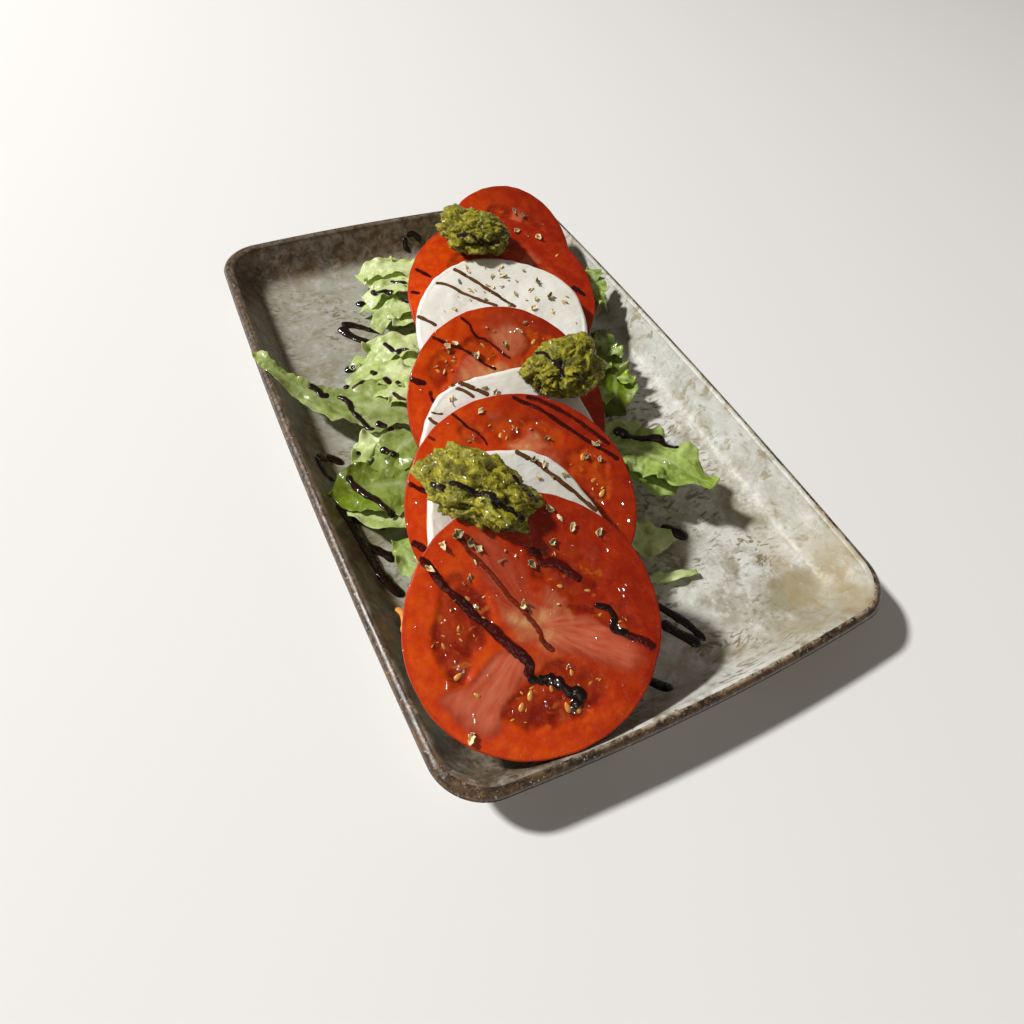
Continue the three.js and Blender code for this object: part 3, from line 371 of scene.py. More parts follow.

# leaves: middle line, half widths along it, height and number of the ruffles, rise of the edges, how
# # pale the leaf and its tip are, how much deeper its green is (on leaf_mid_right and the body of
# leaf_long_left this is
# # painted shade), how many small curls grow on it, and the height of its frills and blisters
LEAVES = {
    "leaf_back_left": dict(
        spine=[(-1, 80, 20), (-9, 92, 18), (-16, 102, 15), (-23, 110, 11)], widths=(7, 11, 11, 5),
        ruffle=1.8, waves=3, rise=0.05, pale=0.85, lobes=1, frill=0.5,
    ),
    "leaf_back_left_low": dict(
        spine=[(-11, 61, 18), (-17, 71, 16), (-23, 80, 13.5), (-29, 89, 10)], widths=(6, 9.5, 9, 5),
        ruffle=1.7, waves=2.5, rise=0.05, pale=0.7, lobes=1, frill=0.5,
    ),
    "leaf_mid_left_high": dict(
        spine=[(-21, 32, 19), (-30, 38, 18), (-38, 45, 15), (-47, 53, 11.5)], widths=(7, 9, 8.5, 4.5),
        ruffle=1.7, waves=3, rise=0.05, pale=0.75, lobes=1, frill=0.6,
    ),
    # its body's deeper green is painted shade; the tip stays pale
    "leaf_long_left": dict(
        spine=[
            (-35, 7, 19), (-46, 14.5, 19), (-57, 21.5, 18), (-67.5, 29, 18), (-74, 36.5, 19.5),
            (-79, 43.5, 22), (-82.5, 50, 24.5), (-84, 54.5, 25),
        ],
        widths=(10, 13, 11.5, 7, 4.2, 3, 2.8, 2), ruffle=1.3, waves=3, rise=0.1, pale=0.35, tip=0.75,
        lobes=0, frill=0.25, green=0.55,
    ),
    "leaf_curl_left": dict(
        spine=[(-45, -1.5, 15), (-50, 0, 14.5), (-57, 0.5, 13), (-63, 1, 11.5)], widths=(2, 3.5, 5, 4.5),
        ruffle=1.6, waves=3.5, rise=0.1, pale=0.95, lobes=1,
    ),
    "leaf_front_left": dict(
        spine=[(-46, -25, 17), (-55, -21, 16.5), (-65, -17, 15), (-75, -10.5, 13)],
        widths=(14, 13.5, 11, 6.5), ruffle=1.6, waves=2, rise=0.1, pale=0, green=0.9, frill=0.12,
        blister=0.45,
    ),
    "leaf_front_small": dict(
        spine=[(-60, -62, 14), (-62, -52, 13.5), (-62, -41, 11)], widths=(4, 5, 3), ruffle=1.4, waves=2.5,
        rise=0.05, pale=0.2, lobes=1,
    ),
    "leaf_back_right": dict(
        spine=[(48, 34, 24), (57, 41, 26), (65, 47, 27.5), (72, 52, 27)], widths=(4, 8, 7, 3), ruffle=1.8,
        waves=3, rise=0.05, pale=0.2, lobes=2,
    ),
    # its deep green is painted shade
    "leaf_mid_right": dict(
        spine=[(57, 25, 21), (53, 12, 19.5), (48, -4, 18), (40, -19, 15)], widths=(4, 6, 9, 4), ruffle=2.4,
        waves=5, rise=0.03, pale=0, lobes=5, green=1, frill=1.2,
    ),
    "leaf_bright_right": dict(
        spine=[(24, -35, 20.5), (31.5, -44, 23), (39.5, -55.5, 24.5), (47.4, -71.5, 25)],
        widths=(8, 12, 10.5, 3.5), ruffle=2, waves=3, rise=0.1, pale=0.1, lobes=0, frill=0.8, blister=0.8,
    ),
    "leaf_pale_right": dict(
        spine=[(11, -70, 13), (20, -73.5, 11.5), (31, -76, 9.5)], widths=(7, 7.5, 3), ruffle=1, waves=2.5,
        rise=0.04, pale=0.8,
    ),
    "leaf_frond_right": dict(
        spine=[(8, -88, 11.5), (18, -90, 9.5), (31, -92, 8.2)], widths=(1.6, 2.2, 1), ruffle=0.5, waves=3,
        rise=0.05, pale=0.7,
    ),
}
# folds that belong to a leaf and lie over it
TUFTS = [
    dict(
        of="leaf_back_left", spine=[(-2, 93, 20), (-10, 100, 19), (-19, 103, 17.5), (-27, 101, 14)],
        widths=(5, 6, 6, 4.5), ruffle=1, waves=2, rise=0.08, pale=1, frill=0.45,
    ),
    dict(
        of="leaf_back_left", spine=[(-7, 81, 21), (-16, 85, 19.5), (-23, 86, 18), (-30, 84.5, 14)],
        widths=(4.5, 5.5, 5.5, 4), ruffle=1, waves=2, rise=0.08, pale=0.95, frill=0.45,
    ),
    dict(
        of="leaf_back_left_low", spine=[(-12, 67, 20), (-19, 70.5, 18.5), (-25, 71, 16.5), (-32, 66, 13)],
        widths=(4, 5.5, 5, 3.5), ruffle=1, waves=2, rise=0.08, pale=0.6, frill=0.45,
    ),
    dict(
        of="leaf_mid_left_high", spine=[(-21, 43, 20.5), (-29.5, 46, 20), (-36, 45, 18.5), (-43, 42, 15)],
        widths=(5, 6.5, 6, 4), ruffle=1.2, waves=2, rise=0.08, pale=0.95, frill=0.5,
    ),
    dict(
        of="leaf_mid_left_high", spine=[(-31, 23, 21), (-37, 29, 20.5), (-44, 33, 19), (-55, 32, 15)],
        widths=(6, 8, 7.5, 4.5), ruffle=1.2, waves=2, rise=0.07, pale=1, frill=0.6,
    ),
    dict(
        of="leaf_long_left", spine=[(-35, 12, 21.5), (-39, 19.5, 21), (-46, 25, 19)], widths=(5, 7, 5),
        ruffle=1.1, waves=1.5, rise=0.08, pale=1, frill=0.4,
    ),
    dict(
        of="leaf_curl_left", spine=[(-48, 5, 18), (-56, 3, 17), (-61, -1.5, 15.5), (-66, -7, 12.5)],
        widths=(3.5, 4.5, 4, 2.5), ruffle=1.4, waves=3.5, rise=0.12, pale=1, frill=1.1,
    ),
    dict(
        of="leaf_front_left", spine=[(-41, -4, 19), (-48, -7, 19), (-53, -10, 18), (-58, -14.5, 16)],
        widths=(6, 8, 7, 5), ruffle=1, waves=1.5, rise=0.06, pale=0.1, green=0.4, frill=0.1, blister=0.3,
    ),
    dict(
        of="leaf_front_left", spine=[(-55, -38, 16), (-61, -35, 15.5), (-67, -30, 14), (-73, -22, 12.5)],
        widths=(4, 5, 4.5, 3), ruffle=1, waves=2, rise=0.15, pale=0.45, frill=0.2, blister=0.3,
    ),
    dict(
        of="leaf_bright_right", spine=[(25, -42, 20), (29, -51, 20), (33, -58, 19.5), (38, -64, 18.5)],
        widths=(4.5, 7, 6.5, 4), ruffle=1.3, waves=2.5, rise=0.1, pale=0.25, frill=0.5,
    ),
    dict(
        of="leaf_bright_right", spine=[(27, -29, 20), (34, -31, 21), (40.5, -34.5, 20.5)],
        widths=(3.5, 5, 3.5), ruffle=1, waves=1.6, rise=0.1, pale=0.5, frill=0.4,
    ),
]
LEAF_THICKNESS = 0.5

BED = dict(front=(-42, -112), back=(36, 102), half_width=27, height=30, leaf_room=3.4, slice_past=8,
           rim=0.9, lump=(7, 1.6), end_share=0.55)

# leaves over the heap's sides and back end: how many on a side, where they start as a share of the
# bed's half width, and from there their reach, heights and half widths
FLANK = dict(count=9, start=0.55, reach=(-2, 6, 12, 16.5), heights=(26, 22, 15, 9.5), widths=(6, 9, 8, 4))
SHRED = dict(start=(-72.5, -66, 12.5), end=(-74, -76, 13.5), arch=(1.5, 0, 1.2), width=1.9, steps=24)

# oregano flakes: places on a slice, and scattered ones
FLAKE_PLACES = {
    "tomato_slice_5": [
        (-17, 29), (-12, 31), (-22.5, 24.5), (-13, 18.5), (-15, 17.5), (-8, 25.5), (-9.5, 27.5), (-10, 22),
        (-19, 14), (-1.5, 6.5), (8, 3), (-14, 10.5), (5, 16), (20, 22), (27, 18), (1.5, 20), (18, 17),
        (13, 20), (-27.5, -22), (-21, 12), (-3, 20),
    ],
    "mozzarella_slice_1": [
        (-3, 32), (4, 29), (9, 26), (10, 23), (11, 20), (14, 19), (19, 23), (7, 18), (-1, 18), (11, 13),
        (18, 13), (18, 8), (14, 9), (15, 4), (24, 7), (22, 0), (29, 3), (31, 5), (29, -8), (-12, 19),
        (-8, 16), (-16, 14), (-20, 14),
    ],
}
# number, nearest and farthest share of the radius, first and last degree
FLAKES = {
    "mozzarella_slice_1": (12, 0.2, 0.9, 5, 110), "mozzarella_slice_2": (5, 0.72, 0.9, 84, 118),
    "tomato_slice_3": (16, 0.5, 0.95, 50, 160), "tomato_slice_4": (12, 0.6, 0.92, 5, 135),
    "mozzarella_slice_3": (5, 0.6, 0.9, 20, 74), "tomato_slice_5": (5, 0.55, 0.93, 10, 100),
    "tomato_slice_2": (4, 0.8, 0.95, 20, 60), "tomato_slice_1": (3, 0.3, 0.8, 20, 90),
}

# pools where the glaze is thick, on a slice: right, back, radius
BEADS = {
    "tomato_slice_5": [
        (-6.2, -13.6, 1.3), (-3.9, -14.9, 1.5), (-1.4, -15.7, 1.9), (0.4, -17.4, 1.9), (2.6, -21, 1.7),
        (4.6, -21.6, 1.6), (5.1, -23, 1.7), (3.3, -24.3, 1.7), (1.8, -25.2, 1.4), (21.4, -9.4, 1.2),
    ],
}
# wet drops that glint: number and largest radius on each kind of piece, and (right, back, radius) on a slice
DROPS = {
    "tomato": (150, 0.5), "pesto": (150, 0.55), "lettuce": (110, 0.6), "glaze": (14, 0.7),
    "mozzarella": (16, 0.4),
}
GLINTS = {
    "tomato_slice_5": [
        (27.9, 0, 0.6), (27.2, -1.7, 0.5), (29, 1, 0.4), (26.6, 0.6, 0.3), (-24.3, -3.3, 0.8),
        (-23.3, -4.7, 0.7), (-24.6, -1.6, 0.5), (-28.6, -6, 0.8), (-29, -6.9, 0.7), (-17.4, -8, 0.5),
        (-19.5, -8.5, 0.3), (-31.5, 11.2, 0.4), (-25, -18, 0.5), (-24.8, -16.5, 0.5), (15, -9.9, 0.5),
        (24.9, -7.3, 0.3), (17.6, -24.7, 0.4), (-5, -21.2, 0.7), (-4.3, -17.5, 0.6), (-14.3, -33, 0.4),
        (27.7, 12.3, 0.4), (-14.2, 10.8, 0.8), (-14.6, 10.2, 0.6), (1.2, 19.8, 0.5), (-7.4, -16.6, 0.4),
        (-14.4, -19.8, 0.4), (0.1, -17, 0.9), (-1.7, -15.8, 0.8), (-0.6, -16.6, 0.5), (1.5, -25.6, 1.1),
        (2.6, -24.6, 0.6), (22.5, -9.2, 0.7), (24.3, -11.6, 0.6), (5.1, -14.2, 0.6), (3.6, -21.4, 0.6),
    ],
    "tomato_slice_4": [
        (-32.8, 12.6, 0.6), (25.8, -7.2, 0.6), (32.2, -9.6, 0.8), (32, -15.6, 0.8), (-28.5, 18, 0.5),
        (5.8, 28.6, 0.8), (5.3, 25.8, 0.6), (6.4, 24.6, 0.8), (14.2, 25.2, 0.7), (-7.8, 28, 0.5),
        (-8.2, 26.6, 0.6), (0.7, 24.6, 0.4),
    ],
    "tomato_slice_3": [
        (-13.5, 25, 0.5), (-14.4, 22.6, 0.8), (-18, 20.2, 0.6), (-30.6, 13.6, 0.6), (-32.4, 18.5, 0.7),
        (3.9, 19.7, 0.6), (-2, 18.8, 0.6), (-1.4, 15.5, 0.6), (12.9, 27.2, 0.6), (11.6, 26.6, 0.5),
    ],
    "tomato_slice_2": [(-29, 16, 0.5), (-30, 9, 0.5), (22, 26, 0.5)],
    "tomato_slice_1": [(-4, 20, 0.6), (4, 14, 0.5), (14, 10, 0.5)],
}
CATCH = (-0.59, -0.05, 0.81)  # halfway between the light and the camera
DROP_TRIES = 30000
DROP_AREA = ((-70, 70), (-130, 115))  # across and along the plate

SEED_SIZE = (3.1, 1.6, 0.9)
SLIVER_SIZE = (1.3, 0.5, 0.4)
SLIVERS = 26  # on each slice with seeds
LEAF_BITS = 130  # on each dollop
FLAKE_THICKNESS = 0.16

# how fine the meshes are: numbers of steps or splits, rows and columns for the bed, millimetres between
# rings of a slice or rows of a leaf, and millimetres of a leaf's half width to each column
FINENESS = {
    "plate_profile": 78,
    "slice_around": 240,
    "slice_side": 22,
    "slice_ring": 0.55,
    "thread_around": 14,
    "leaf_along": 0.45,
    "leaf_across": 0.24,
    "bed": (240, 72),
    "dollop_splits": 6,
}
# shares of the radius or of the floor at which rings lie on the flat undersides and the plate's floor
SLICE_BACK = (0.004, 0.3, 0.6, 0.8)
PLATE_FLOOR = (0.94, 0.86, 0.76, 0.64, 0.5, 0.34, 0.17, 0.03)
PLATE_FOOT = (0.03, 0.3, 0.6, 0.85)

# lights: direction, distance and size in metres, power, colour
LIGHTS = {
    "key": ((-0.62, 0.4, 0.76), 3, 0.26, 119, (1, 0.985, 0.955)),
    "fill": ((-0.2, -0.7, 0.7), 3, 1.6, 5.5, (1, 0.9, 0.78)),
}
LIGHT_TARGET = (-0.01, -0.02, 0.02)
SKY = dict(colour=(1, 0.9, 0.8, 1), strength=0.14)
FLOOR = dict(half=3, drop=0.0002, colour=(0.74, 0.74, 0.74, 1), roughness=0.9)

rng = np.random.default_rng(7)

# ---------------------------------------------------------------- numbers


def lattice(ix, iy, iz, seed):
    """A repeatable number from 0 to 1 for whole numbers."""
    value = np.sin(ix * 127.1 + iy * 311.7 + iz * 74.7 + seed * 53.3) * 43758.5453
    return value - np.floor(value)


def noise(p, seed=0):
    """Smooth noise from -1 to 1 at points of shape (n, 3)."""
    p = np.asarray(p, float)
    whole = np.floor(p)
    part = p - whole
    ease = part * part * (3 - 2 * part)
    total = np.zeros(len(p))
    for dx in (0, 1):
        for dy in (0, 1):
            for dz in (0, 1):
                weight = np.ones(len(p))
                for axis, step in enumerate((dx, dy, dz)):
                    weight = weight * (ease[:, axis] if step else 1 - ease[:, axis])
                total += weight * lattice(whole[:, 0] + dx, whole[:, 1] + dy, whole[:, 2] + dz, seed)
    return 2 * total - 1


def flat_noise(x, y, size, seed=0):
    """Smooth noise over a plane, with features of a size."""
    shape = np.shape(x)
    p = np.stack([np.ravel(x) / size, np.ravel(y) / size, np.zeros(np.size(x))], axis=1)
    return noise(p, seed).reshape(shape)


def smooth(value, low=0.0, high=1.0):
    """0 below low, 1 above high, with a smooth rise between."""
    t = np.clip((np.asarray(value, float) - low) / (high - low), 0, 1)
    return t * t * (3 - 2 * t)


def curve(points, count):
    """count points along a smooth curve through points."""
    p = np.asarray(points, float)
    p = np.vstack([2 * p[0] - p[1], p, 2 * p[-1] - p[-2]])
    at = np.linspace(0, len(points) - 1 - 1e-9, count)
    k = at.astype(int)
    t = (at - k)[:, None]
    a, b, c, d = p[k], p[k + 1], p[k + 2], p[k + 3]
    return 0.5 * (2 * b + (c - a) * t + (2 * a - 5 * b + 4 * c - d) * t**2 + (3 * b - a - 3 * c + d) * t**3)


def along(values, place):
    """Smooth steps between evenly spaced values, at places from 0 to 1."""
    values = np.asarray(values, float)
    at = np.clip(place, 0, 1) * (len(values) - 1) - 1e-9
    k = np.clip(at.astype(int), 0, len(values) - 2)
    t = smooth(at - k)
    return values[k] * (1 - t) + values[k + 1] * t


def rounded(outline):
    """Points round a closed outline, with its corners smoothed."""
    return curve([*outline, outline[0]], len(outline) * 4)[:-1]


def line_points(points, spacing, fewest):
    """x and y of points along a smooth line, about a distance apart."""
    spread = np.linalg.norm(np.diff(np.array(points, float), axis=0), axis=1).sum()
    return curve(points, max(fewest, int(spread / spacing))).T


def blurred(values, width=5):
    """Running mean of values, with as many of them."""
    return np.convolve(np.pad(values, width // 2, "edge"), np.ones(width) / width, "valid")


def outline_distance(x, y, outline):
    """Distance to a closed outline, negative inside."""
    p = np.asarray(outline, float)
    q = np.roll(p, -1, axis=0)
    nearest = np.full(np.shape(x), np.inf)
    inside = np.zeros(np.shape(x), bool)
    for (ax, ay), (bx, by) in zip(p, q):
        ex, ey = bx - ax, by - ay
        t = np.clip(((x - ax) * ex + (y - ay) * ey) / (ex * ex + ey * ey), 0, 1)
        nearest = np.minimum(nearest, np.hypot(x - ax - t * ex, y - ay - t * ey))
        crosses = (ay > y) != (by > y)
        inside ^= crosses & (x < ex * (y - ay) / np.where(ey == 0, 1e-9, ey) + ax)
    return np.where(inside, -nearest, nearest)


# ---------------------------------------------------------------- meshes


def grid_faces(rows, columns, closed=False):
    """Quads of a grid of vertices; closed joins the last column to the first."""
    i = np.arange(rows - 1)[:, None]
    j = np.arange(columns if closed else columns - 1)[None, :]
    following = (j + 1) % columns
    corners = [i * columns + j, i * columns + following, (i + 1) * columns + following, (i + 1) * columns + j]
    spread = [np.broadcast_to(c, (rows - 1, j.shape[1])) for c in corners]
    return [list(f) for f in np.stack(spread, axis=-1).reshape(-1, 4)]


def tube_faces(rows, around):
    """Faces over rings of vertices, with both ends closed."""
    faces = grid_faces(rows, around, closed=True)
    faces.append(list(range(around))[::-1])
    faces.append(list(range((rows - 1) * around, rows * around)))
    return faces


def slab_faces(rows, columns):
    """Faces of a closed slab: a grid, the same grid below it, and a strip round their edges."""
    faces = grid_faces(rows, columns)
    count = rows * columns
    faces += [[int(v) + count for v in f[::-1]] for f in faces]
    edge = [i * columns for i in range(rows - 1)]
    edge += [(rows - 1) * columns + j for j in range(columns - 1)]
    edge += [i * columns + columns - 1 for i in range(rows - 1, 0, -1)]
    edge += list(range(columns - 1, 0, -1))
    for k, a in enumerate(edge):
        b = edge[(k + 1) % len(edge)]
        faces.append([a, b, b + count, a + count])
    return faces


def make(name, vertices, faces, material, slot=None, replaces=(), attributes=None):
    """A smooth mesh piece from vertices in millimetres, which rides on the plate's body."""
    mesh = bpy.data.meshes.new(name)
    mesh.from_pydata((np.asarray(vertices) * MM).tolist(), [], [list(map(int, f)) for f in faces])
    mesh.polygons.foreach_set("use_smooth", [True] * len(mesh.polygons))
    for key, values in (attributes or {}).items():
        values = np.asarray(values, np.float32)
        kind = "FLOAT" if values.ndim == 1 else "FLOAT_VECTOR"
        layer = mesh.attributes.new(key, kind, "POINT")
        layer.data.foreach_set("value" if values.ndim == 1 else "vector", values.ravel())
    mesh.materials.append(material)
    mesh.validate()
    piece = bpy.data.objects.new(name, mesh)
    bpy.context.scene.collection.objects.link(piece)
    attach(piece, "root")
    if slot:
        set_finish(piece, slot)
    if replaces:
        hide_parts(*replaces)
    return piece


def joined(parts):
    """Several (vertices, faces, attributes) as one."""
    vertices, faces, attributes = [], [], {}
    count = 0
    for points, polygons, values in parts:
        vertices.append(points)
        faces.extend([[int(v) + count for v in f] for f in polygons])
        for key, value in values.items():
            attributes.setdefault(key, []).append(value)
        count += len(points)
    return np.vstack(vertices), faces, {key: np.concatenate(value) for key, value in attributes.items()}


def surface_under(*pieces):
    """The pieces' surface as a function: highest point, normal and piece under (x, y), in millimetres."""
    vertices, faces, owners = [], [], []
    for piece in pieces:
        count = len(vertices)
        vertices.extend([v.co / MM for v in piece.data.vertices])
        faces.extend([[v + count for v in p.vertices] for p in piece.data.polygons])
        owners.extend([piece] * len(piece.data.polygons))
    tree = BVHTree.FromPolygons(vertices, faces)

    def look(x, y):
        place, normal, index, _ = tree.ray_cast(Vector((x, y, 200)), Vector((0, 0, -1)))
        if place is None:
            return 0.0, Vector((0, 0, 1)), None
        return place.z, normal if normal.z > 0 else -normal, owners[index]

    return look


# ---------------------------------------------------------------- materials


class Shader:
    """One material, built from texture nodes on its principled surface."""

    def __init__(self, name):
        self.material = bpy.data.materials.new(name)
        self.material.use_nodes = True
        self.tree = self.material.node_tree
        self.surface = self.tree.nodes["Principled BSDF"]
        self.place = self.tree.nodes.new("ShaderNodeTexCoord").outputs["Object"]

    def put(self, socket, value):
        if isinstance(value, bpy.types.NodeSocket):
            self.tree.links.new(value, socket)
        elif isinstance(value, (tuple, list)) and len(value) == 3 and socket.type == "RGBA":
            socket.default_value = (*value, 1)
        else:
            socket.default_value = value

    def node(self, kind, output, inputs, **settings):
        made = self.tree.nodes.new(kind)
        for key, value in settings.items():
            setattr(made, key, value)
        for key, value in inputs.items():
            self.put(made.inputs[key], value)
        return made.outputs[output]

    def set(self, **values):
        """Principled inputs, with _ for a space."""
        for key, value in values.items():
            self.put(self.surface.inputs[key.replace("_", " ")], value)

    def noise(self, size, detail=3.0, rough=0.5, distortion=0.0, vector=None):
        """Noise with features of a size in millimetres."""
        inputs = {"Vector": vector or self.place, "Scale": 1 / (size * MM), "Detail": detail,
                  "Roughness": rough, "Distortion": distortion}
        return self.node("ShaderNodeTexNoise", "Fac", inputs)

    def cell_walls(self, size):
        """Distance from the walls between cells of a size in millimetres."""
        inputs = {"Vector": self.place, "Scale": 1 / (size * MM)}
        return self.node("ShaderNodeTexVoronoi", "Distance", inputs, feature="DISTANCE_TO_EDGE")

    def stretched(self, scale, turn=(0, 0, 0), vector=None):
        inputs = {"Vector": vector or self.place, "Scale": scale, "Rotation": turn}
        return self.node("ShaderNodeMapping", "Vector", inputs)

    def ramp(self, value, low, high, start=0.0, end=1.0):
        inputs = {"Value": value, "From Min": low, "From Max": high, "To Min": start, "To Max": end}
        return self.node("ShaderNodeMapRange", "Result", inputs, interpolation_type="SMOOTHSTEP")

    def mix(self, part, first, second, blend="MIX"):
        made = self.tree.nodes.new("ShaderNodeMix")
        made.data_type = "RGBA"
        made.blend_type = blend
        self.put(made.inputs[0], part)
        self.put(made.inputs[6], first)
        self.put(made.inputs[7], second)
        return made.outputs[2]

    def sum(self, operation, first, second):
        made = self.tree.nodes.new("ShaderNodeMath")
        made.operation = operation
        self.put(made.inputs[0], first)
        self.put(made.inputs[1], second)
        return made.outputs[0]

    def times(self, first, second):
        return self.sum("MULTIPLY", first, second)

    def plus(self, first, second):
        return self.sum("ADD", first, second)

    def minus(self, first, second):
        return self.sum("SUBTRACT", first, second)

    def value(self, name, output="Fac"):
        return self.node("ShaderNodeAttribute", output, {}, attribute_name=name)

    def bump(self, height, depth, strength=1.0, under=None):
        """A bump of a depth in millimetres."""
        inputs = {"Height": height, "Distance": depth * MM, "Strength": strength}
        if under is not None:
            inputs["Normal"] = under
        return self.node("ShaderNodeBump", "Normal", inputs)


def glaze_material():
    """Grey-white reactive glaze with olive and brown flecks, burnt dark at the rim."""
    s = Shader("plate_glaze")
    cloud = s.noise(38, 5, 0.62, 0.5)
    base = s.mix(s.ramp(cloud, 0.38, 0.6), (0.4, 0.395, 0.33), (0.62, 0.62, 0.58))
    base = s.mix(s.times(s.value("grey"), 0.85), base, (0.29, 0.285, 0.235))
    # short curved dashes that lie along a slowly turning direction
    swirl = s.node("ShaderNodeTexNoise", "Color", {"Vector": s.place, "Scale": 30.0, "Detail": 1.0})
    shift = s.node("ShaderNodeVectorMath", "Vector", {0: swirl, 1: (0.03, 0.03, 0.03)}, operation="MULTIPLY")
    bent = s.node("ShaderNodeVectorMath", "Vector", {0: s.place, 1: shift}, operation="ADD")
    dashes = s.noise(1.5, 2, 0.5, 0.6, s.stretched((0.3, 1, 1), (0, 0, 0.5), bent))
    zone = s.ramp(s.noise(24, 4, 0.6, 0.6), 0.44, 0.58)
    zone = s.times(s.ramp(zone, 0, 1, 0.12, 0.9), s.ramp(s.value("side"), 0, 1, 1, 0.3))
    dash = s.times(s.ramp(dashes, 0.52, 0.62), zone)
    broken = s.plus(s.noise(15, 4, 0.62, 1.2), s.times(s.noise(3.6, 3, 0.6, 0.6), 0.35))
    olive = s.ramp(broken, 0.62, 0.92, 0, 0.9)
    colour = s.mix(olive, base, (0.22, 0.185, 0.105))
    colour = s.mix(dash, colour, (0.17, 0.145, 0.08))
    specks = s.times(s.ramp(s.noise(1.3, 3, 0.6), 0.64, 0.72), s.ramp(s.value("side"), 0, 1, 0.45, 0.15))
    colour = s.mix(specks, colour, (0.12, 0.085, 0.045))
    pale = s.times(s.ramp(s.noise(6, 5, 0.65), 0.49, 0.65), s.ramp(s.value("grey"), 0, 1, 0.7, 0.25))
    colour = s.mix(pale, colour, (0.7, 0.7, 0.68))
    # the right wall is greyer, with soft olive mottles near the rim; one stain lies before the corner, and a
    # patch of painted shadow lies where the bright leaf's shadow falls
    colour = s.mix(s.times(s.value("side"), 0.55), colour, (0.37, 0.38, 0.34))
    mottled = s.times(s.value("side"), s.ramp(s.noise(6.5, 5, 0.66, 0.6), 0.52, 0.64, 0, 0.8))
    colour = s.mix(mottled, colour, (0.23, 0.185, 0.095))
    cloudy = s.ramp(s.plus(s.value("stain_and_shadow"), s.minus(s.noise(3.5, 6, 0.75, 0.8), 0.5)), 0.25, 0.8, 0, 0.75)
    colour = s.mix(cloudy, colour, (0.25, 0.23, 0.14))
    # the bend and the corners collect a browner glaze
    bend = s.times(s.value("bend"), s.ramp(s.noise(13, 4, 0.6, 0.8), 0.42, 0.7))
    colour = s.mix(s.times(bend, 0.75), colour, (0.22, 0.185, 0.105))
    colour = s.mix(s.times(s.value("corner"), s.ramp(s.noise(16, 3, 0.6), 0.35, 0.6, 0.2, 0.8)), colour,
                   (0.34, 0.28, 0.16))
    rust = s.times(s.value("corner"), s.ramp(s.noise(5, 5, 0.7, 0.0, s.stretched((1, 0.3, 1))), 0.5, 0.68))
    colour = s.mix(s.times(rust, 0.55), colour, (0.29, 0.19, 0.085))
    # painted shade: the left and back walls, which face away from the key light, turn dark brown; near the
    # front left corner the brown is burnt mottling
    painted_shade_and_scorch = s.times(s.value("shade_and_burn"), s.ramp(s.noise(5, 5, 0.7, 0.6), 0.3, 0.6, 0.45, 0.95))
    brown = s.mix(s.ramp(s.noise(4, 5, 0.7, 0.5), 0.42, 0.6), (0.05, 0.026, 0.012), (0.14, 0.085, 0.045))
    colour = s.mix(painted_shade_and_scorch, colour, brown)
    # burnt rim: dark brown with rusty and pale flecks, ragged on its inner side
    patches = s.ramp(s.noise(4.5, 5, 0.72), 0.42, 0.6)
    paler = s.mix(s.value("bright"), (0.09, 0.048, 0.02), (0.44, 0.37, 0.27))
    burnt = s.mix(patches, (0.016, 0.01, 0.007), paler)
    burnt = s.mix(s.ramp(s.noise(1.7, 5, 0.74), 0.52, 0.64), burnt, (0.15, 0.08, 0.032))
    burnt = s.mix(s.ramp(s.noise(1.1, 4, 0.7), 0.58, 0.7), burnt, (0.4, 0.25, 0.12))
    flecks = s.noise(1.1, 3, 0.7, 0.0, s.stretched((1, 1, 0.6)))
    burnt = s.mix(s.ramp(flecks, 0.64, 0.7), burnt, (0.5, 0.46, 0.37))
    ragged = s.times(s.minus(s.noise(3.2, 5, 0.72), 0.5), 0.9)
    edge = s.plus(s.value("rim"), ragged)
    colour = s.mix(s.ramp(edge, 0.3, 0.52), colour, (0.13, 0.085, 0.04))
    colour = s.mix(s.ramp(edge, 0.5, 0.66), colour, burnt)
    # the unglazed foot
    clay = s.mix(s.noise(1.2, 3, 0.6), (0.36, 0.29, 0.21), (0.46, 0.38, 0.28))
    colour = s.mix(s.value("foot"), colour, clay)
    rough = s.ramp(s.noise(4, 3, 0.5), 0.3, 0.8, 0.32, 0.44)
    rough = s.plus(rough, s.times(s.value("side"), 0.12))
    rough = s.plus(rough, s.times(s.value("foot"), 0.5))
    ripple = s.bump(s.noise(11, 3, 0.5), 0.9, 0.6)
    pits = s.bump(s.noise(2.6, 3, 0.55), 0.16, 0.8, ripple)
    dimples = s.bump(s.noise(6, 3, 0.5), 1.2, 1.0, ripple)
    s.set(Base_Color=colour, Roughness=rough, Normal=pits, Coat_Normal=dimples)
    s.set(Specular_IOR_Level=0.36, Coat_Weight=0.5, Coat_Roughness=0.46)
    return s.material


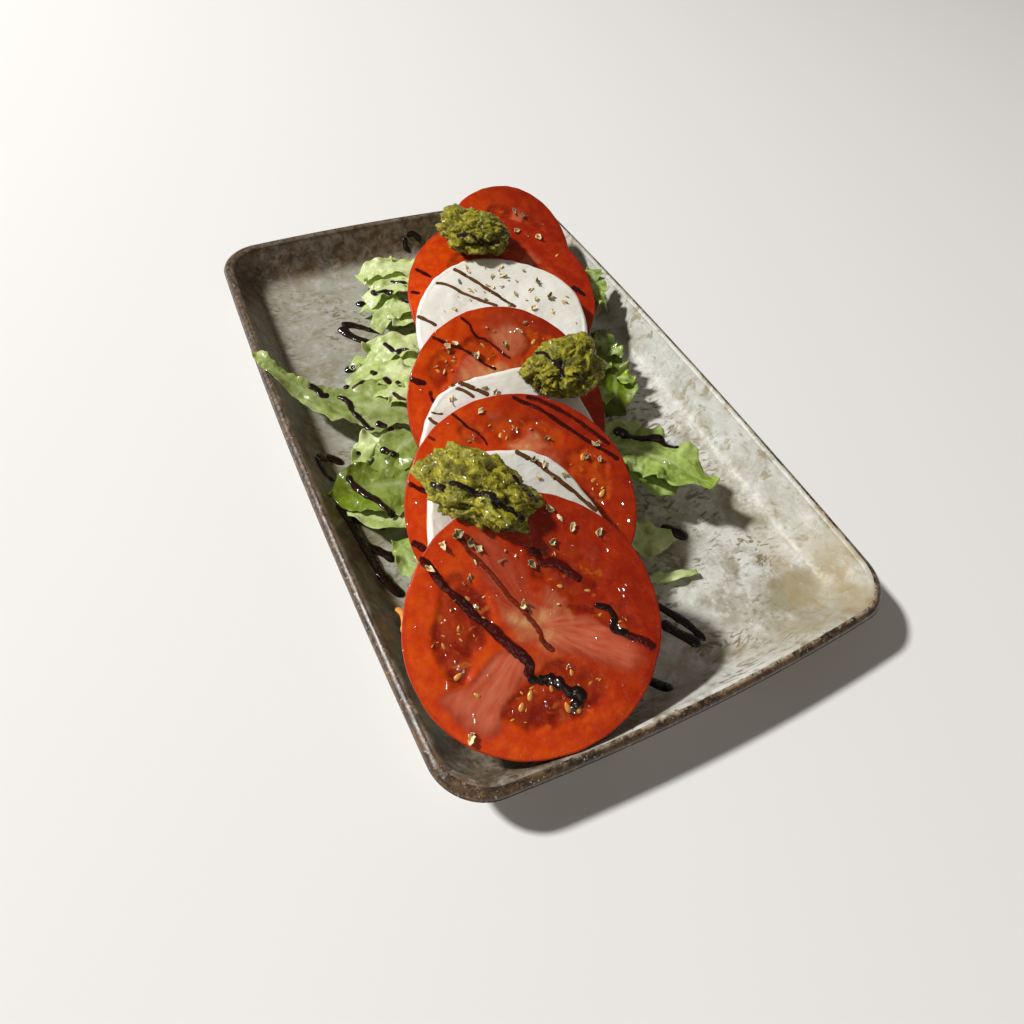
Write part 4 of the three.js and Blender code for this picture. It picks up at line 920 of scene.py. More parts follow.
def tomato_material():
    """Wet cut tomato: flesh, paler walls between the seed chambers, dark gel and red skin."""
    s = Shader("tomato")
    fibres = s.noise(2.0, 3, 0.5, 0.0, s.value("fibre", "Vector"))
    mottle = s.noise(5, 4, 0.6)
    left = s.value("left")
    ripe = s.mix(s.ramp(mottle, 0.35, 0.7), (0.27, 0.012, 0.001), (0.38, 0.026, 0.002))
    orange = s.mix(s.ramp(mottle, 0.35, 0.7), (0.56, 0.038, 0.0005), (0.7, 0.08, 0.0015))
    flesh = s.mix(left, ripe, orange)
    wall = s.mix(s.ramp(fibres, 0.28, 0.74), (0.53, 0.082, 0.032), (0.62, 0.165, 0.085))
    dull = s.mix(s.ramp(fibres, 0.28, 0.74), (0.32, 0.032, 0.01), (0.41, 0.07, 0.03))
    pale = s.mix(s.ramp(s.value("wall"), 0.3, 1.0), dull, wall)
    colour = s.mix(s.ramp(s.value("wall"), 0.0, 0.6), flesh, pale)
    core = s.mix(s.ramp(s.noise(2.5, 3, 0.6), 0.4, 0.7), (0.6, 0.22, 0.09), (0.68, 0.42, 0.16))
    colour = s.mix(s.value("core"), colour, core)
    pools = s.noise(6.5, 3, 0.5, 0.6)
    dark = s.mix(s.ramp(pools, 0.36, 0.62), (0.2, 0.007, 0.0006), (0.34, 0.026, 0.0015))
    fresh = s.mix(s.ramp(pools, 0.36, 0.62), (0.36, 0.022, 0.001), (0.52, 0.065, 0.003))
    gel = s.mix(s.value("fresh"), dark, fresh)
    # unripe seeds and bits of core that show through
    gel = s.mix(s.ramp(s.noise(3.6, 2, 0.5, 0.4), 0.6, 0.72, 0, 0.7), gel, (0.5, 0.12, 0.01))
    colour = s.mix(s.value("gel"), colour, gel)
    skin = s.mix(left, (0.3, 0.014, 0.004), (0.42, 0.024, 0.003))
    skin = s.mix(s.ramp(s.noise(3, 4, 0.6), 0.5, 0.75, 0, 0.4), skin, (0.5, 0.05, 0.008))
    colour = s.mix(s.value("skin"), colour, skin)
    grain = s.bump(fibres, 0.1, 0.3)
    cells = s.bump(s.noise(1.1, 3, 0.6), 0.1, 0.45, grain)
    # a film of juice, rippled steeply enough to glint
    film = s.bump(s.noise(3.2, 2, 0.5), 1.6, 1.0)
    rough = s.ramp(s.noise(3, 3, 0.6), 0.3, 0.75, 0.35, 0.55)
    s.set(Base_Color=colour, Roughness=rough, Normal=cells, Coat_Normal=film)
    s.set(Subsurface_Weight=0.15, Subsurface_Radius=(1.0, 0.15, 0.03), Subsurface_Scale=0.003)
    s.set(Specular_IOR_Level=0.12, Coat_Weight=0.35, Coat_Roughness=0.06)
    return s.material


def mozzarella_material():
    """Moist white cheese with a faint grain."""
    s = Shader("mozzarella")
    clouds = s.noise(16, 3, 0.5)
    colour = s.mix(s.ramp(clouds, 0.3, 0.7), (0.7, 0.685, 0.61), (0.8, 0.8, 0.75))
    strands = s.noise(5, 4, 0.6, 0.4, s.stretched((0.35, 1, 1), (0.4, 0, 0.6)))
    colour = s.mix(s.ramp(strands, 0.6, 0.8, 0, 0.3), colour, (0.68, 0.63, 0.52))
    relief = s.bump(strands, 0.5, 0.5)
    grain = s.bump(s.noise(1.2, 4, 0.65), 0.16, 0.7, relief)
    s.set(Base_Color=colour, Roughness=s.ramp(s.noise(2, 3, 0.5), 0.3, 0.7, 0.34, 0.52), Normal=grain)
    s.set(Subsurface_Weight=0.25, Subsurface_Radius=(1.0, 0.8, 0.6), Subsurface_Scale=0.003)
    s.set(Specular_IOR_Level=0.4, Coat_Weight=0.12, Coat_Roughness=0.15)
    return s.material


def pesto_material():
    """Coarse oily pesto: bits of leaf from dark to yellow-green, oil that glints."""
    s = Shader("pesto")
    lumps = s.noise(5, 5, 0.68, 0.5)
    chopped = s.noise(1.3, 4, 0.7, 0.8, s.stretched((1, 0.5, 1), (0.4, 0.3, 0.9)))
    colour = s.mix(s.ramp(lumps, 0.38, 0.6), (0.12, 0.11, 0.007), (0.31, 0.28, 0.014))
    colour = s.mix(s.ramp(chopped, 0.54, 0.66, 0, 0.9), colour, (0.52, 0.48, 0.05))
    colour = s.mix(s.ramp(chopped, 0.46, 0.34, 0, 0.85), colour, (0.035, 0.034, 0.003))
    # painted shade: creases, the gaps between knobs and the pocket turn near black; some dark bits of leaf
    # use the same value
    colour = s.mix(s.value("hollow"), colour, (0.016, 0.013, 0.002))
    # painted light: raised folds and knobs are paler yellow-green; the torn bits of leaf take a random tint
    colour = s.mix(s.value("tint_and_ridge_light"), colour, (0.5, 0.47, 0.07))
    clump = s.bump(s.noise(1.6, 4, 0.7), 0.8, 0.9)
    grit = s.bump(chopped, 0.5, 0.8, clump)
    oil = s.bump(s.noise(1.7, 2, 0.5), 1.5, 1.0)
    s.set(Base_Color=colour, Roughness=s.ramp(s.noise(1.5, 2, 0.5), 0.35, 0.65, 0.25, 0.6), Normal=grit)
    s.set(Subsurface_Weight=0.06, Subsurface_Radius=(0.6, 0.7, 0.1), Subsurface_Scale=0.002)
    s.set(Specular_IOR_Level=0.12, Coat_Weight=0.45, Coat_Roughness=0.06, Coat_Normal=oil)
    return s.material


def lettuce_material():
    """Crinkled lettuce: pale ribs, blistered green blades, light shining through."""
    s = Shader("lettuce")
    patches = s.noise(8, 4, 0.62)
    green = s.mix(s.ramp(patches, 0.36, 0.64), (0.18, 0.29, 0.005), (0.35, 0.51, 0.022))
    pale = s.mix(s.ramp(patches, 0.36, 0.64), (0.6, 0.73, 0.24), (0.87, 0.94, 0.56))
    colour = s.mix(s.value("pale"), green, pale)
    veins = s.ramp(s.cell_walls(4.5), 0.08, 0.0)
    colour = s.mix(s.times(veins, 0.3), colour, (0.6, 0.72, 0.3))
    colour = s.mix(s.value("rib"), colour, (0.66, 0.75, 0.42))
    # deeper green: partly the leaf's own colour, partly painted shade in hollows, under frills and on shaded
    # leaves
    colour = s.mix(s.times(s.value("deep_green_and_shade"), 0.8), colour, (0.1, 0.125, 0.001))
    blisters = s.bump(s.noise(2.4, 3, 0.55), 0.6, 0.7)
    creases = s.bump(s.cell_walls(4.5), 0.4, 0.5, blisters)
    s.set(Base_Color=colour, Roughness=s.ramp(s.noise(5, 2, 0.5), 0.3, 0.7, 0.26, 0.46), Normal=creases)
    s.set(Specular_IOR_Level=0.3, Coat_Weight=0.35, Coat_Roughness=0.08)
    through = s.node("ShaderNodeBsdfTranslucent", "BSDF", {"Color": colour, "Normal": creases})
    mixed = s.node("ShaderNodeMixShader", "Shader",
                   {"Fac": 0.35, 1: s.surface.outputs["BSDF"], 2: through})
    s.put(s.tree.nodes["Material Output"].inputs["Surface"], mixed)
    return s.material


def balsamic_material():
    """Glossy near-black glaze; thin glaze is red-brown on tomato and brown on cheese, with faded edges."""
    s = Shader("balsamic")
    thick = s.mix(s.noise(3, 2, 0.5), (0.003, 0.001, 0.0006), (0.014, 0.003, 0.001))
    uneven = s.times(s.minus(s.noise(1.8, 3, 0.6), 0.5), 0.6)
    thin = s.plus(s.value("thin"), uneven)
    on_tomato = s.mix(s.ramp(thin, 0.5, 1.0), (0.055, 0.0008, 0.0005), (0.17, 0.013, 0.001))
    on_cheese = s.mix(s.ramp(s.value("edge"), 0.2, 0.9), (0.13, 0.048, 0.012), (0.055, 0.02, 0.005))
    film = s.mix(s.value("cheese"), on_tomato, on_cheese)
    colour = s.mix(s.ramp(thin, 0.05, 0.5), thick, film)
    s.set(Base_Color=colour, Normal=s.bump(s.noise(2.2, 3, 0.5), 0.3, 0.6))
    s.set(Roughness=0.4, Specular_IOR_Level=0.05, Coat_Weight=0.8, Coat_Roughness=0.05)
    s.set(Coat_Normal=s.bump(s.noise(2.2, 2, 0.5), 0.8, 0.8))
    wide = s.plus(s.value("edge"), s.times(s.noise(1.2, 3, 0.6), 0.5))
    clearer = s.ramp(s.value("cheese"), 0, 1, 1, 0.35)
    fade = s.times(s.ramp(wide, 0.45, 1.15), s.times(s.ramp(s.value("thin"), 0.15, 0.6), clearer))
    clear = s.node("ShaderNodeBsdfTransparent", "BSDF", {})
    mixed = s.node("ShaderNodeMixShader", "Shader", {"Fac": fade, 1: s.surface.outputs["BSDF"], 2: clear})
    s.put(s.tree.nodes["Material Output"].inputs["Surface"], mixed)
    return s.material


def drop_material():
    """A drop so clear that only its glint shows."""
    s = Shader("wet_drop")
    white = s.mix(s.noise(2, 2, 0.5), (0.9, 0.9, 0.9), (1, 1, 1))
    s.set(Base_Color=white, Metallic=1.0, Roughness=0.1, Alpha=0.12)
    return s.material


def speck_material(name, dark, light, roughness, inner=0.0):
    """Seeds, flakes and shreds: two tones over each body."""
    s = Shader(name)
    tone = s.plus(s.value("tone"), s.times(s.noise(0.8, 3, 0.6), 0.4))
    s.set(Base_Color=s.mix(s.ramp(tone, 0.2, 1.1), dark, light), Roughness=roughness)
    s.set(Normal=s.bump(s.noise(0.5, 3, 0.6), 0.1, 0.6))
    s.set(Subsurface_Weight=inner, Subsurface_Radius=(1.0, 0.6, 0.2), Subsurface_Scale=0.002)
    s.set(Coat_Weight=0.2, Coat_Roughness=0.12)
    return s.material


# ---------------------------------------------------------------- plate


def plate_ring(inset, height):
    """The plate's outline, a distance in from its widest edge, at a height."""
    half_x = PLATE["width"] / 2 - PLATE["side_bow"] - inset
    half_y = PLATE["length"] / 2 - PLATE["end_bow"] - inset
    radius = PLATE["corner"] - PLATE["corner_ease"] * inset
    corners = [(1, -1, -90), (1, 1, 0), (-1, 1, 90), (-1, -1, 180)]
    arcs = []
    for sx, sy, start in corners:
        angle = np.radians(start + np.linspace(0, 90, PLATE["arc_steps"] + 1))
        arcs.append(np.stack([sx * (half_x - radius) + radius * np.cos(angle),
                              sy * (half_y - radius) + radius * np.sin(angle)], axis=1))
    ring = []
    for k, arc in enumerate(arcs):
        following = arcs[(k + 1) % 4][0]
        steps = PLATE["side_steps"][k % 2]
        t = np.linspace(0, 1, steps + 1)[1:-1, None]
        ring += [arc, arc[-1] * (1 - t) + following * t]
    x, y = np.vstack(ring).T
    bulge_x = PLATE["side_bow"] * (1 - (y / half_y) ** 2) * (x / half_x)
    bulge_y = PLATE["end_bow"] * (1 - (x / half_x) ** 2) * (y / half_y)
    return np.stack([x + bulge_x, y + bulge_y, np.full(len(x), height)], axis=1)


def plate_top(x, y):
    """Height of the plate's upper side under points."""
    half_x = PLATE["width"] / 2 - PLATE["side_bow"] * (y / (PLATE["length"] / 2)) ** 2
    half_y = PLATE["length"] / 2 - PLATE["end_bow"] * (x / (PLATE["width"] / 2)) ** 2
    inset = np.minimum(half_x - np.abs(x), half_y - np.abs(y))
    insets, heights = zip(*([PLATE["underside"][-1]] + PLATE["inside"]))
    return np.interp(inset, insets, heights)


def make_plate(material):
    """The plate, with its glaze's zones."""
    profile = curve(PLATE["underside"] + PLATE["inside"], FINENESS["plate_profile"])
    profile[:, 1] = np.maximum(profile[:, 1], 0)
    rings = [plate_ring(inset, height) for inset, height in profile]
    floor = rings[-1]
    foot = rings[0]
    inner = [floor * (share, share, 1) for share in PLATE_FLOOR]
    under = [foot * (share, share, 1) for share in PLATE_FOOT]
    rings = under + rings + inner
    count = len(floor)
    vertices = np.vstack(rings)
    faces = tube_faces(len(rings), count)
    # how far each vertex is along the profile, for the glaze's zones
    insets = np.concatenate([np.full(len(under), 60.0), profile[:, 0], np.full(len(inner), 60.0)])
    top = np.concatenate([np.zeros(len(under)), np.arange(len(profile)) / len(profile), np.ones(len(inner))])
    inset, place = np.repeat(insets, count), np.repeat(top, count)
    upper = place > 0.5
    from_edge = np.where(upper, inset, np.maximum(0, PLATE["widest_at"] - vertices[:, 2]) * 0.5)
    # the burnt rim is narrow on the right, and paler on the right and in front
    x, y = vertices[:, 0], vertices[:, 1]
    right_side = smooth(x, 55, 76) * smooth(y, -125, -100)
    rim = 1 - smooth(from_edge, 0.8 - 0.5 * right_side, 3.7 - 1.6 * right_side)
    bright = np.clip(right_side + smooth(-y, 118, 128) * smooth(x, -66, -30), 0, 1)
    bright = bright * np.where(place > 0.45, smooth(inset, 0.9, 2.6), 0)
    bend = smooth(inset, 6, 11) * (1 - smooth(inset, 17, 27)) * upper
    corner = smooth(vertices[:, 0], 10, 62) * (1 - smooth(vertices[:, 1], -122, -70)) * (inset < 30)
    foot_mask = (1 - smooth(vertices[:, 2], 0.1, 0.5)) * ~upper
    wall = upper * (1 - smooth(inset, 11.5, 17))
    side = wall * smooth(x, 30, 62)
    # olive stains, and one patch of painted shadow beside the bright leaf
    stain_and_shadow = np.zeros(len(x))
    for px, py, half_x, half_y, strength in STAINS_AND_SHADOW:
        spread = np.exp(-(((x - px) / half_x) ** 2) - ((y - py) / half_y) ** 2)
        stain_and_shadow = np.maximum(stain_and_shadow, strength * upper * spread)
    # painted shade on the left and back walls, and burnt glaze round the front left corner
    px, py, near, far = BURNT_CORNER
    near_corner = 1 - smooth(np.hypot(x - px, y - py), near, far)
    shade_and_burn = wall * np.maximum(np.maximum(smooth(-x, 55, 72), smooth(y, 108, 124)), near_corner)
    grey = smooth(0.55 * y - x + 6 * flat_noise(x, y, 30, 41), -10, 70)
    attributes = {"rim": rim, "bend": bend, "corner": corner, "foot": foot_mask, "shade_and_burn": shade_and_burn, "grey": grey,
                  "side": side, "stain_and_shadow": stain_and_shadow, "bright": bright}
    return make("plate_glazed", vertices, faces, material, "glaze", ["plate"], attributes)


# ---------------------------------------------------------------- slices


def turning(slice_):
    """Rotation of a slice's plane: its columns are right, back and up."""
    p, r = math.radians(slice_["pitch"]), math.radians(-slice_["roll"])
    about_x = np.array([[1, 0, 0], [0, math.cos(p), -math.sin(p)], [0, math.sin(p), math.cos(p)]])
    about_y = np.array([[math.cos(r), 0, math.sin(r)], [0, 1, 0], [-math.sin(r), 0, math.cos(r)]])
    return about_x @ about_y


def to_world(slice_, local):
    """Points of a slice's own frame in the model's."""
    return np.asarray(local) @ turning(slice_).T + np.array(slice_["centre"])


def outline_radius(slice_, angle):
    """How far a slice's outline is from its middle."""
    radius = np.full(np.shape(angle), float(slice_["radius"]))
    for count, height, place in slice_["lobes"]:
        radius = radius + height * np.cos(count * (angle - math.radians(place)))
    return radius


def plain_chamber(slice_, middle, width):
    """Outline of a seed chamber between the core and the outer wall."""
    near, far = 0.3 * slice_["radius"], 0.68 * slice_["radius"]
    turn = np.radians(middle + width / 2 * np.array([-0.7, -0.95, -0.9, -0.5, 0, 0.5, 0.9, 0.95, 0.7, 0]))
    shares = (near * 1.15, near * 1.7, far * 0.88, far * 0.98)
    reach = np.array([*shares, far, *shares[::-1], near])
    return np.stack([reach * np.cos(turn), reach * np.sin(turn)], axis=1)


def chamber_depth(name, x, y):
    """How far inside a seed chamber points are, in millimetres, with an uneven outline."""
    slice_ = SLICES[name]
    deepest = np.full(np.shape(x), -1e3)
    wobble = 0.9 * flat_noise(x, y, 4, 3) + 0.4 * flat_noise(x, y, 1.7, 4)
    for chamber in CHAMBERS.get(name, []):
        outline = chamber if isinstance(chamber, list) else plain_chamber(slice_, *chamber)
        deepest = np.maximum(deepest, wobble - outline_distance(x, y, rounded(outline)))
    return deepest


def face_height(name, x, y):
    """Height of a slice's upper face over its plane."""
    slice_ = SLICES[name]
    share = np.hypot(x, y) / outline_radius(slice_, np.arctan2(y, x))
    if slice_["kind"] is MOZZARELLA:
        relief = 0.2 * flat_noise(x, y, 11, 5) + 0.1 * flat_noise(x, y, 3.4, 6)
        relief = relief + 0.05 * flat_noise(x, y, 1.3, 7)
        tear = np.exp(-((flat_noise(x, y, 9, 15) / 0.045) ** 2)) * smooth(flat_noise(x, y, 14, 16), 0.05, 0.3)
        return relief - 0.22 * tear - 0.25 * smooth(share, 0.85, 1)
    depth = chamber_depth(name, x, y)
    hollow = 0.5 * smooth(depth, -0.9, 1.8) - 0.2 * smooth(depth, 1.5, 4)
    hollow = hollow + 0.12 * flat_noise(x, y, 1.6, 10) * smooth(depth, -0.5, 1)
    unevenness = 0.14 * flat_noise(x, y, 7, 8) + 0.05 * flat_noise(x, y, 2, 9)
    return unevenness - hollow - 0.12 * smooth(share, 0.93, 1)


def ground_at(name, x, y):
    """Height of a slice's upper face over its plane at one place."""
    return face_height(name, np.array([x]), np.array([y]))[0]


def make_slice(name, material):
    """A cut slice, from the middle of its back over its side to the middle of its face."""
    slice_ = SLICES[name]
    steps = FINENESS["slice_around"]
    angle = np.linspace(0, 2 * np.pi, steps, endpoint=False)
    radius = outline_radius(slice_, angle)
    radius = radius + 0.25 * flat_noise(radius * np.cos(angle), radius * np.sin(angle), 6, 12)
    side = curve(slice_["kind"]["side"], FINENESS["slice_side"])
    thickness = slice_["kind"]["thickness"]
    face_shares = np.linspace(side[-1][0], SLICE_BACK[0], int(slice_["radius"] / FINENESS["slice_ring"]))[1:]
    rings = [(share, -thickness) for share in SLICE_BACK] + [tuple(point) for point in side]
    on_face = [False] * len(rings) + [True] * len(face_shares)
    rings += [(share, None) for share in face_shares]
    points = []
    for share, height in rings:
        x, y = share * radius * np.cos(angle), share * radius * np.sin(angle)
        z = face_height(name, x, y) if height is None else np.full(steps, float(height))
        if height is not None:
            grain = 0.12 if slice_["kind"] is TOMATO else 0.3
            ripple = grain * flat_noise(steps / 20 * np.cos(angle), 3 * np.sin(angle) + height, 1, 21)
            x, y = x * (1 + ripple / slice_["radius"]), y * (1 + ripple / slice_["radius"])
        points.append(np.stack([x, y, z], axis=1))
    local = np.vstack(points)
    faces = tube_faces(len(rings), steps)
    attributes = {}
    if slice_["kind"] is TOMATO:
        attributes = tomato_zones(name, local, np.repeat(on_face, steps))
    slot = slice_["kind"]["slot"]
    return make(name + "_cut", to_world(slice_, local), faces, material, slot, [name], attributes)


def tomato_zones(name, local, on_face):
    """Where a tomato slice is gel, wall between chambers, pale core, skin, and how far left it lies."""
    slice_ = SLICES[name]
    x, y, z = local.T
    turn, reach = np.arctan2(y, x), np.hypot(x, y)
    share = reach / outline_radius(slice_, turn)
    depth = chamber_depth(name, x, y)
    cut = on_face | ((z < -slice_["kind"]["thickness"] + 0.3) & ~on_face)
    gel = smooth(depth + 0.5 * flat_noise(x, y, 1.3, 35), -0.9, 1.5) * cut
    patchy = 1 + 0.45 * flat_noise(x, y, 2.6, 33)
    core = np.zeros(len(x))
    for px, py, half_x, half_y, strength in PALE[name]:
        away = np.hypot((x - px) / half_x, (y - py) / half_y) * patchy
        core = np.maximum(core, strength * np.exp(-(away**2)))
    ragged = 0.7 * flat_noise(x, y, 5, 31) + 0.25 * flat_noise(x, y, 1.6, 32)
    if name in WALLS:
        wall = np.zeros(len(x))
        for brightness, outline in WALLS[name]:
            inside = ragged - outline_distance(x, y, rounded(outline))
            wall = np.maximum(wall, brightness * smooth(inside, -2.6, 2.2))
        streaks = noise(np.stack([turn * 9, reach * 0.05, np.zeros(len(x))], axis=1), 36)
        wall = wall * (1 - 0.9 * smooth(share + 0.05 * ragged, 0.74, 0.97)) * (0.93 + 0.16 * streaks)
    else:
        wall = 0.7 * (1 - smooth(share + 0.1 * ragged, 0.5, 0.75))
    skin = np.where(on_face, smooth(share, 0.978, 0.99), smooth(z, -7.4, -7.0))
    fresh = slice_.get("fresh", 0.4)
    lit = -(x + 0.35 * y) / slice_["radius"] + 0.15 * flat_noise(x, y, 9, 37) + 0.5 * fresh
    left = smooth(lit, -0.7, 0.75)
    # radial fibres: far along the radius, close round it
    fibre = np.stack([turn * 0.02, reach * MM * 0.22, np.zeros(len(x))], axis=1)
    wall = wall * (1 - gel) * cut
    core = core * cut * (1 - 0.6 * gel)
    fresh = np.full(len(x), float(fresh))
    return {"gel": gel, "fresh": fresh, "wall": wall, "core": core, "skin": skin, "left": left,
            "fibre": fibre}


def slice_floor(points, clearance):
    """Lifts points that are in a slice, or under it, up to its face plus a clearance."""
    points = points.copy()
    for name, slice_ in SLICES.items():
        turned = turning(slice_)
        local = (points - np.array(slice_["centre"])) @ turned
        x, y = local[:, 0], local[:, 1]
        inside = np.hypot(x, y) < outline_radius(slice_, np.arctan2(y, x)) + 0.3
        face = face_height(name, x, y) + clearance
        low = inside & (local[:, 2] < face)
        local[low, 2] = face[low]
        points[low] = to_world(slice_, local[low])
    return points


def ceiling(x, y, margin):
    """Height of the lowest underside of a slice over points, or infinity beside them."""
    lowest = np.full(np.shape(x), np.inf)
    for slice_ in SLICES.values():
        normal = turning(slice_)[:, 2]
        centre = np.array(slice_["centre"]) - normal * slice_["kind"]["thickness"]
        z = centre[2] - (normal[0] * (x - centre[0]) + normal[1] * (y - centre[1])) / normal[2]
        away = np.sqrt((x - centre[0]) ** 2 + (y - centre[1]) ** 2 + (z - centre[2]) ** 2)
        lowest = np.where(away < slice_["radius"] + margin, np.minimum(lowest, z), lowest)
    return lowest


# ---------------------------------------------------------------- glaze, seeds and flakes


def thread_body(path, normals, width, thin, seed, cheese=0):
    """A round-backed thread along a path, uneven in width, with rounded ends."""
    path, normals = np.asarray(path, float), np.asarray(normals, float)
    count, around = len(path), FINENESS["thread_around"]
    first_width, last_width = width if isinstance(width, tuple) else (width, width)
    tangent = np.gradient(path, axis=0)
    tangent /= np.linalg.norm(tangent, axis=1)[:, None] + 1e-9
    across = np.cross(normals, tangent)
    across /= np.linalg.norm(across, axis=1)[:, None] + 1e-9
    length = np.concatenate([[0], np.cumsum(np.linalg.norm(np.diff(path, axis=0), axis=1))])
    still = 0 * length
    taper = first_width + (last_width - first_width) * length / length[-1]
    width = (first_width + last_width) / 2
    wobble = 0.2 - 0.08 * thin
    uneven = 1 + wobble * flat_noise(length, still, 1.7 * width, seed)
    uneven += 0.8 * wobble * flat_noise(length, still, 0.7 * width, seed + 1)
    to_end = np.minimum(length, length[-1] - length)
    ends = np.sqrt(np.clip(1 - np.clip(1 - to_end / (0.55 * width), 0, 1) ** 2, 0.0009, 1))
    half = taper / 2 * uneven * ends
    angle = np.linspace(0, 2 * np.pi, around, endpoint=False)
    height = (0.5 - 0.7 * min(thin, 0.55)) * (0.7 + 0.3 * uneven)
    rise = np.where(np.sin(angle) > 0, np.sin(angle), 0.2 * np.sin(angle))
    # each side of the thread has its own small bulges
    side_of = np.tile(np.sign(np.cos(angle)), count)
    bulges = noise(np.stack([np.repeat(length, around) / 1.1, side_of, np.zeros(len(side_of))], 1), seed + 2)
    sides = 1 + 0.22 * thin * bulges.reshape(count, around)
    rings = (path[:, None] + across[:, None] * (half[:, None] * np.cos(angle) * sides)[..., None]
             + normals[:, None] * ((half * height)[:, None] * rise)[..., None])
    vertices = rings.reshape(-1, 3)
    faces = tube_faces(count, around)
    edge = np.tile(np.abs(np.cos(angle)) ** 2, count)
    patchy = 1 + 0.3 * flat_noise(length, still, 5, seed + 3)
    redness = np.clip(thin * np.repeat(patchy, around), 0, 1)
    return vertices, faces, {"thin": redness, "cheese": np.full(len(vertices), float(cheese)), "edge": edge}


def slice_threads(name):
    """The glaze threads on a slice's face."""
    slice_ = SLICES[name]
    parts = []
    for k, (width, thin, points) in enumerate(THREADS.get(name, [])):
        x, y = line_points(points, 0.4, 12)
        x, y = x + 0.2 * flat_noise(x, y, 2.5, 50 + k), y + 0.2 * flat_noise(x, y, 2.5, 60 + k)
        z = face_height(name, x, y) + 0.03
        path = to_world(slice_, np.stack([x, y, z], axis=1))
        normals = np.repeat(turning(slice_)[:, 2][None], len(path), axis=0)
        parts.append(thread_body(path, normals, width, thin, 70 + k, slice_["kind"] is MOZZARELLA))
    return parts


def slice_beads(name):
    """The pools of thick glaze on a slice's face."""
    slice_ = SLICES[name]
    directions, faces = ball(3)
    parts = []
    for x, y, radius in BEADS.get(name, []):
        ground = ground_at(name, x, y)
        swell = radius * (1 + 0.2 * noise(directions * 1.7, int(10 * x)))
        local = directions * swell[:, None] * (1, 1, 0.34) + (x, y, ground)
        flat = np.zeros(len(local))
        parts.append((to_world(slice_, local), faces, {"thin": flat, "cheese": flat, "edge": flat}))
    return parts


def level_runs(height, drop=2.5, fewest=6):
    """Stretches of a line between steep drops of the surface that it lies on."""
    cuts = [0, *(np.flatnonzero(np.abs(np.diff(height)) > drop) + 1), len(height)]
    return [slice(a, b) for a, b in zip(cuts, cuts[1:]) if b - a >= fewest]


def draped_threads(lines, surface, seed):
    """Threads laid on a surface, as (width, thinness, points)."""
    parts = []
    for k, (width, thin, points) in enumerate(lines):
        x, y = line_points(points, 0.45, 14)
        x, y = x + 0.2 * flat_noise(x, y, 4, seed + k), y + 0.2 * flat_noise(x, y, 4, seed + k + 40)
        found = [surface(a, b) for a, b in zip(x, y)]
        z = np.array([height for height, _, _ in found])
        normals = np.array([normal for _, normal, _ in found])
        for run in level_runs(z):
            facing = np.stack([blurred(c) for c in normals[run].T], axis=1)
            facing /= np.linalg.norm(facing, axis=1)[:, None]
            path = np.stack([x[run], y[run], blurred(z[run]) + 0.05], axis=1)
            parts.append(thread_body(path, facing, width, thin, seed + k, 1))
    return parts


def make_glaze(name, parts):
    """One piece of all the glaze on one kind of thing."""
    vertices, faces, values = joined(parts)
    return make(name, vertices, faces, BALSAMIC_LOOK, attributes=values)


def grain_body(kind, size, tone):
    """A seed, a teardrop, or a flake, a bent scrap with a ragged outline, round the origin."""
    around, rows = (12, 7) if kind == "seed" else (9, 4)
    length, width, thickness = size
    angle = np.linspace(0, 2 * np.pi, around, endpoint=False)
    ragged = 1 + (0.3 * rng.uniform(-1, 1, around) if kind == "flake" else 0)
    points = []
    for t in np.linspace(0.06, np.pi - 0.06, rows):
        r, z = math.sin(t), math.cos(t)
        x, y = r * ragged * np.cos(angle) * length / 2, r * ragged * np.sin(angle) * width / 2
        if kind == "seed":
            y = y * (1 - 0.35 * x / (length / 2))
            height = z * thickness / 2 * np.ones(around)
        else:
            height = z * thickness / 2 + 0.12 * x**2 / length - 0.1 * np.abs(y)
        points.append(np.stack([x, y, -height], axis=1))
    vertices = np.vstack(points)
    return vertices, tube_faces(rows, around), {"tone": np.full(len(vertices), tone)}


def laid(name, x, y, turn, lift, body, lean=(0, 0)):
    """A body laid on a slice's face at a place, turned, and leaning a little."""
    vertices, faces, values = body
    c, s = math.cos(turn), math.sin(turn)
    spun = vertices @ np.array([[c, s, 0], [-s, c, 0], [0, 0, 1]])
    spun[:, 2] += lean[0] * spun[:, 0] + lean[1] * spun[:, 1]
    ground = ground_at(name, x, y)
    local = spun + np.array([x, y, ground + lift])
    return to_world(SLICES[name], local), faces, values


def drop_body(radius, facing):
    """A shallow lens that faces a direction, round the origin."""
    directions, faces = ball(2)
    turned = np.array(Vector(facing).to_track_quat("Z", "Y").to_matrix())
    shape = directions * (radius * rng.uniform(0.8, 1.5), radius * rng.uniform(0.5, 0.9), radius * 0.16)
    return shape @ turned.T, faces


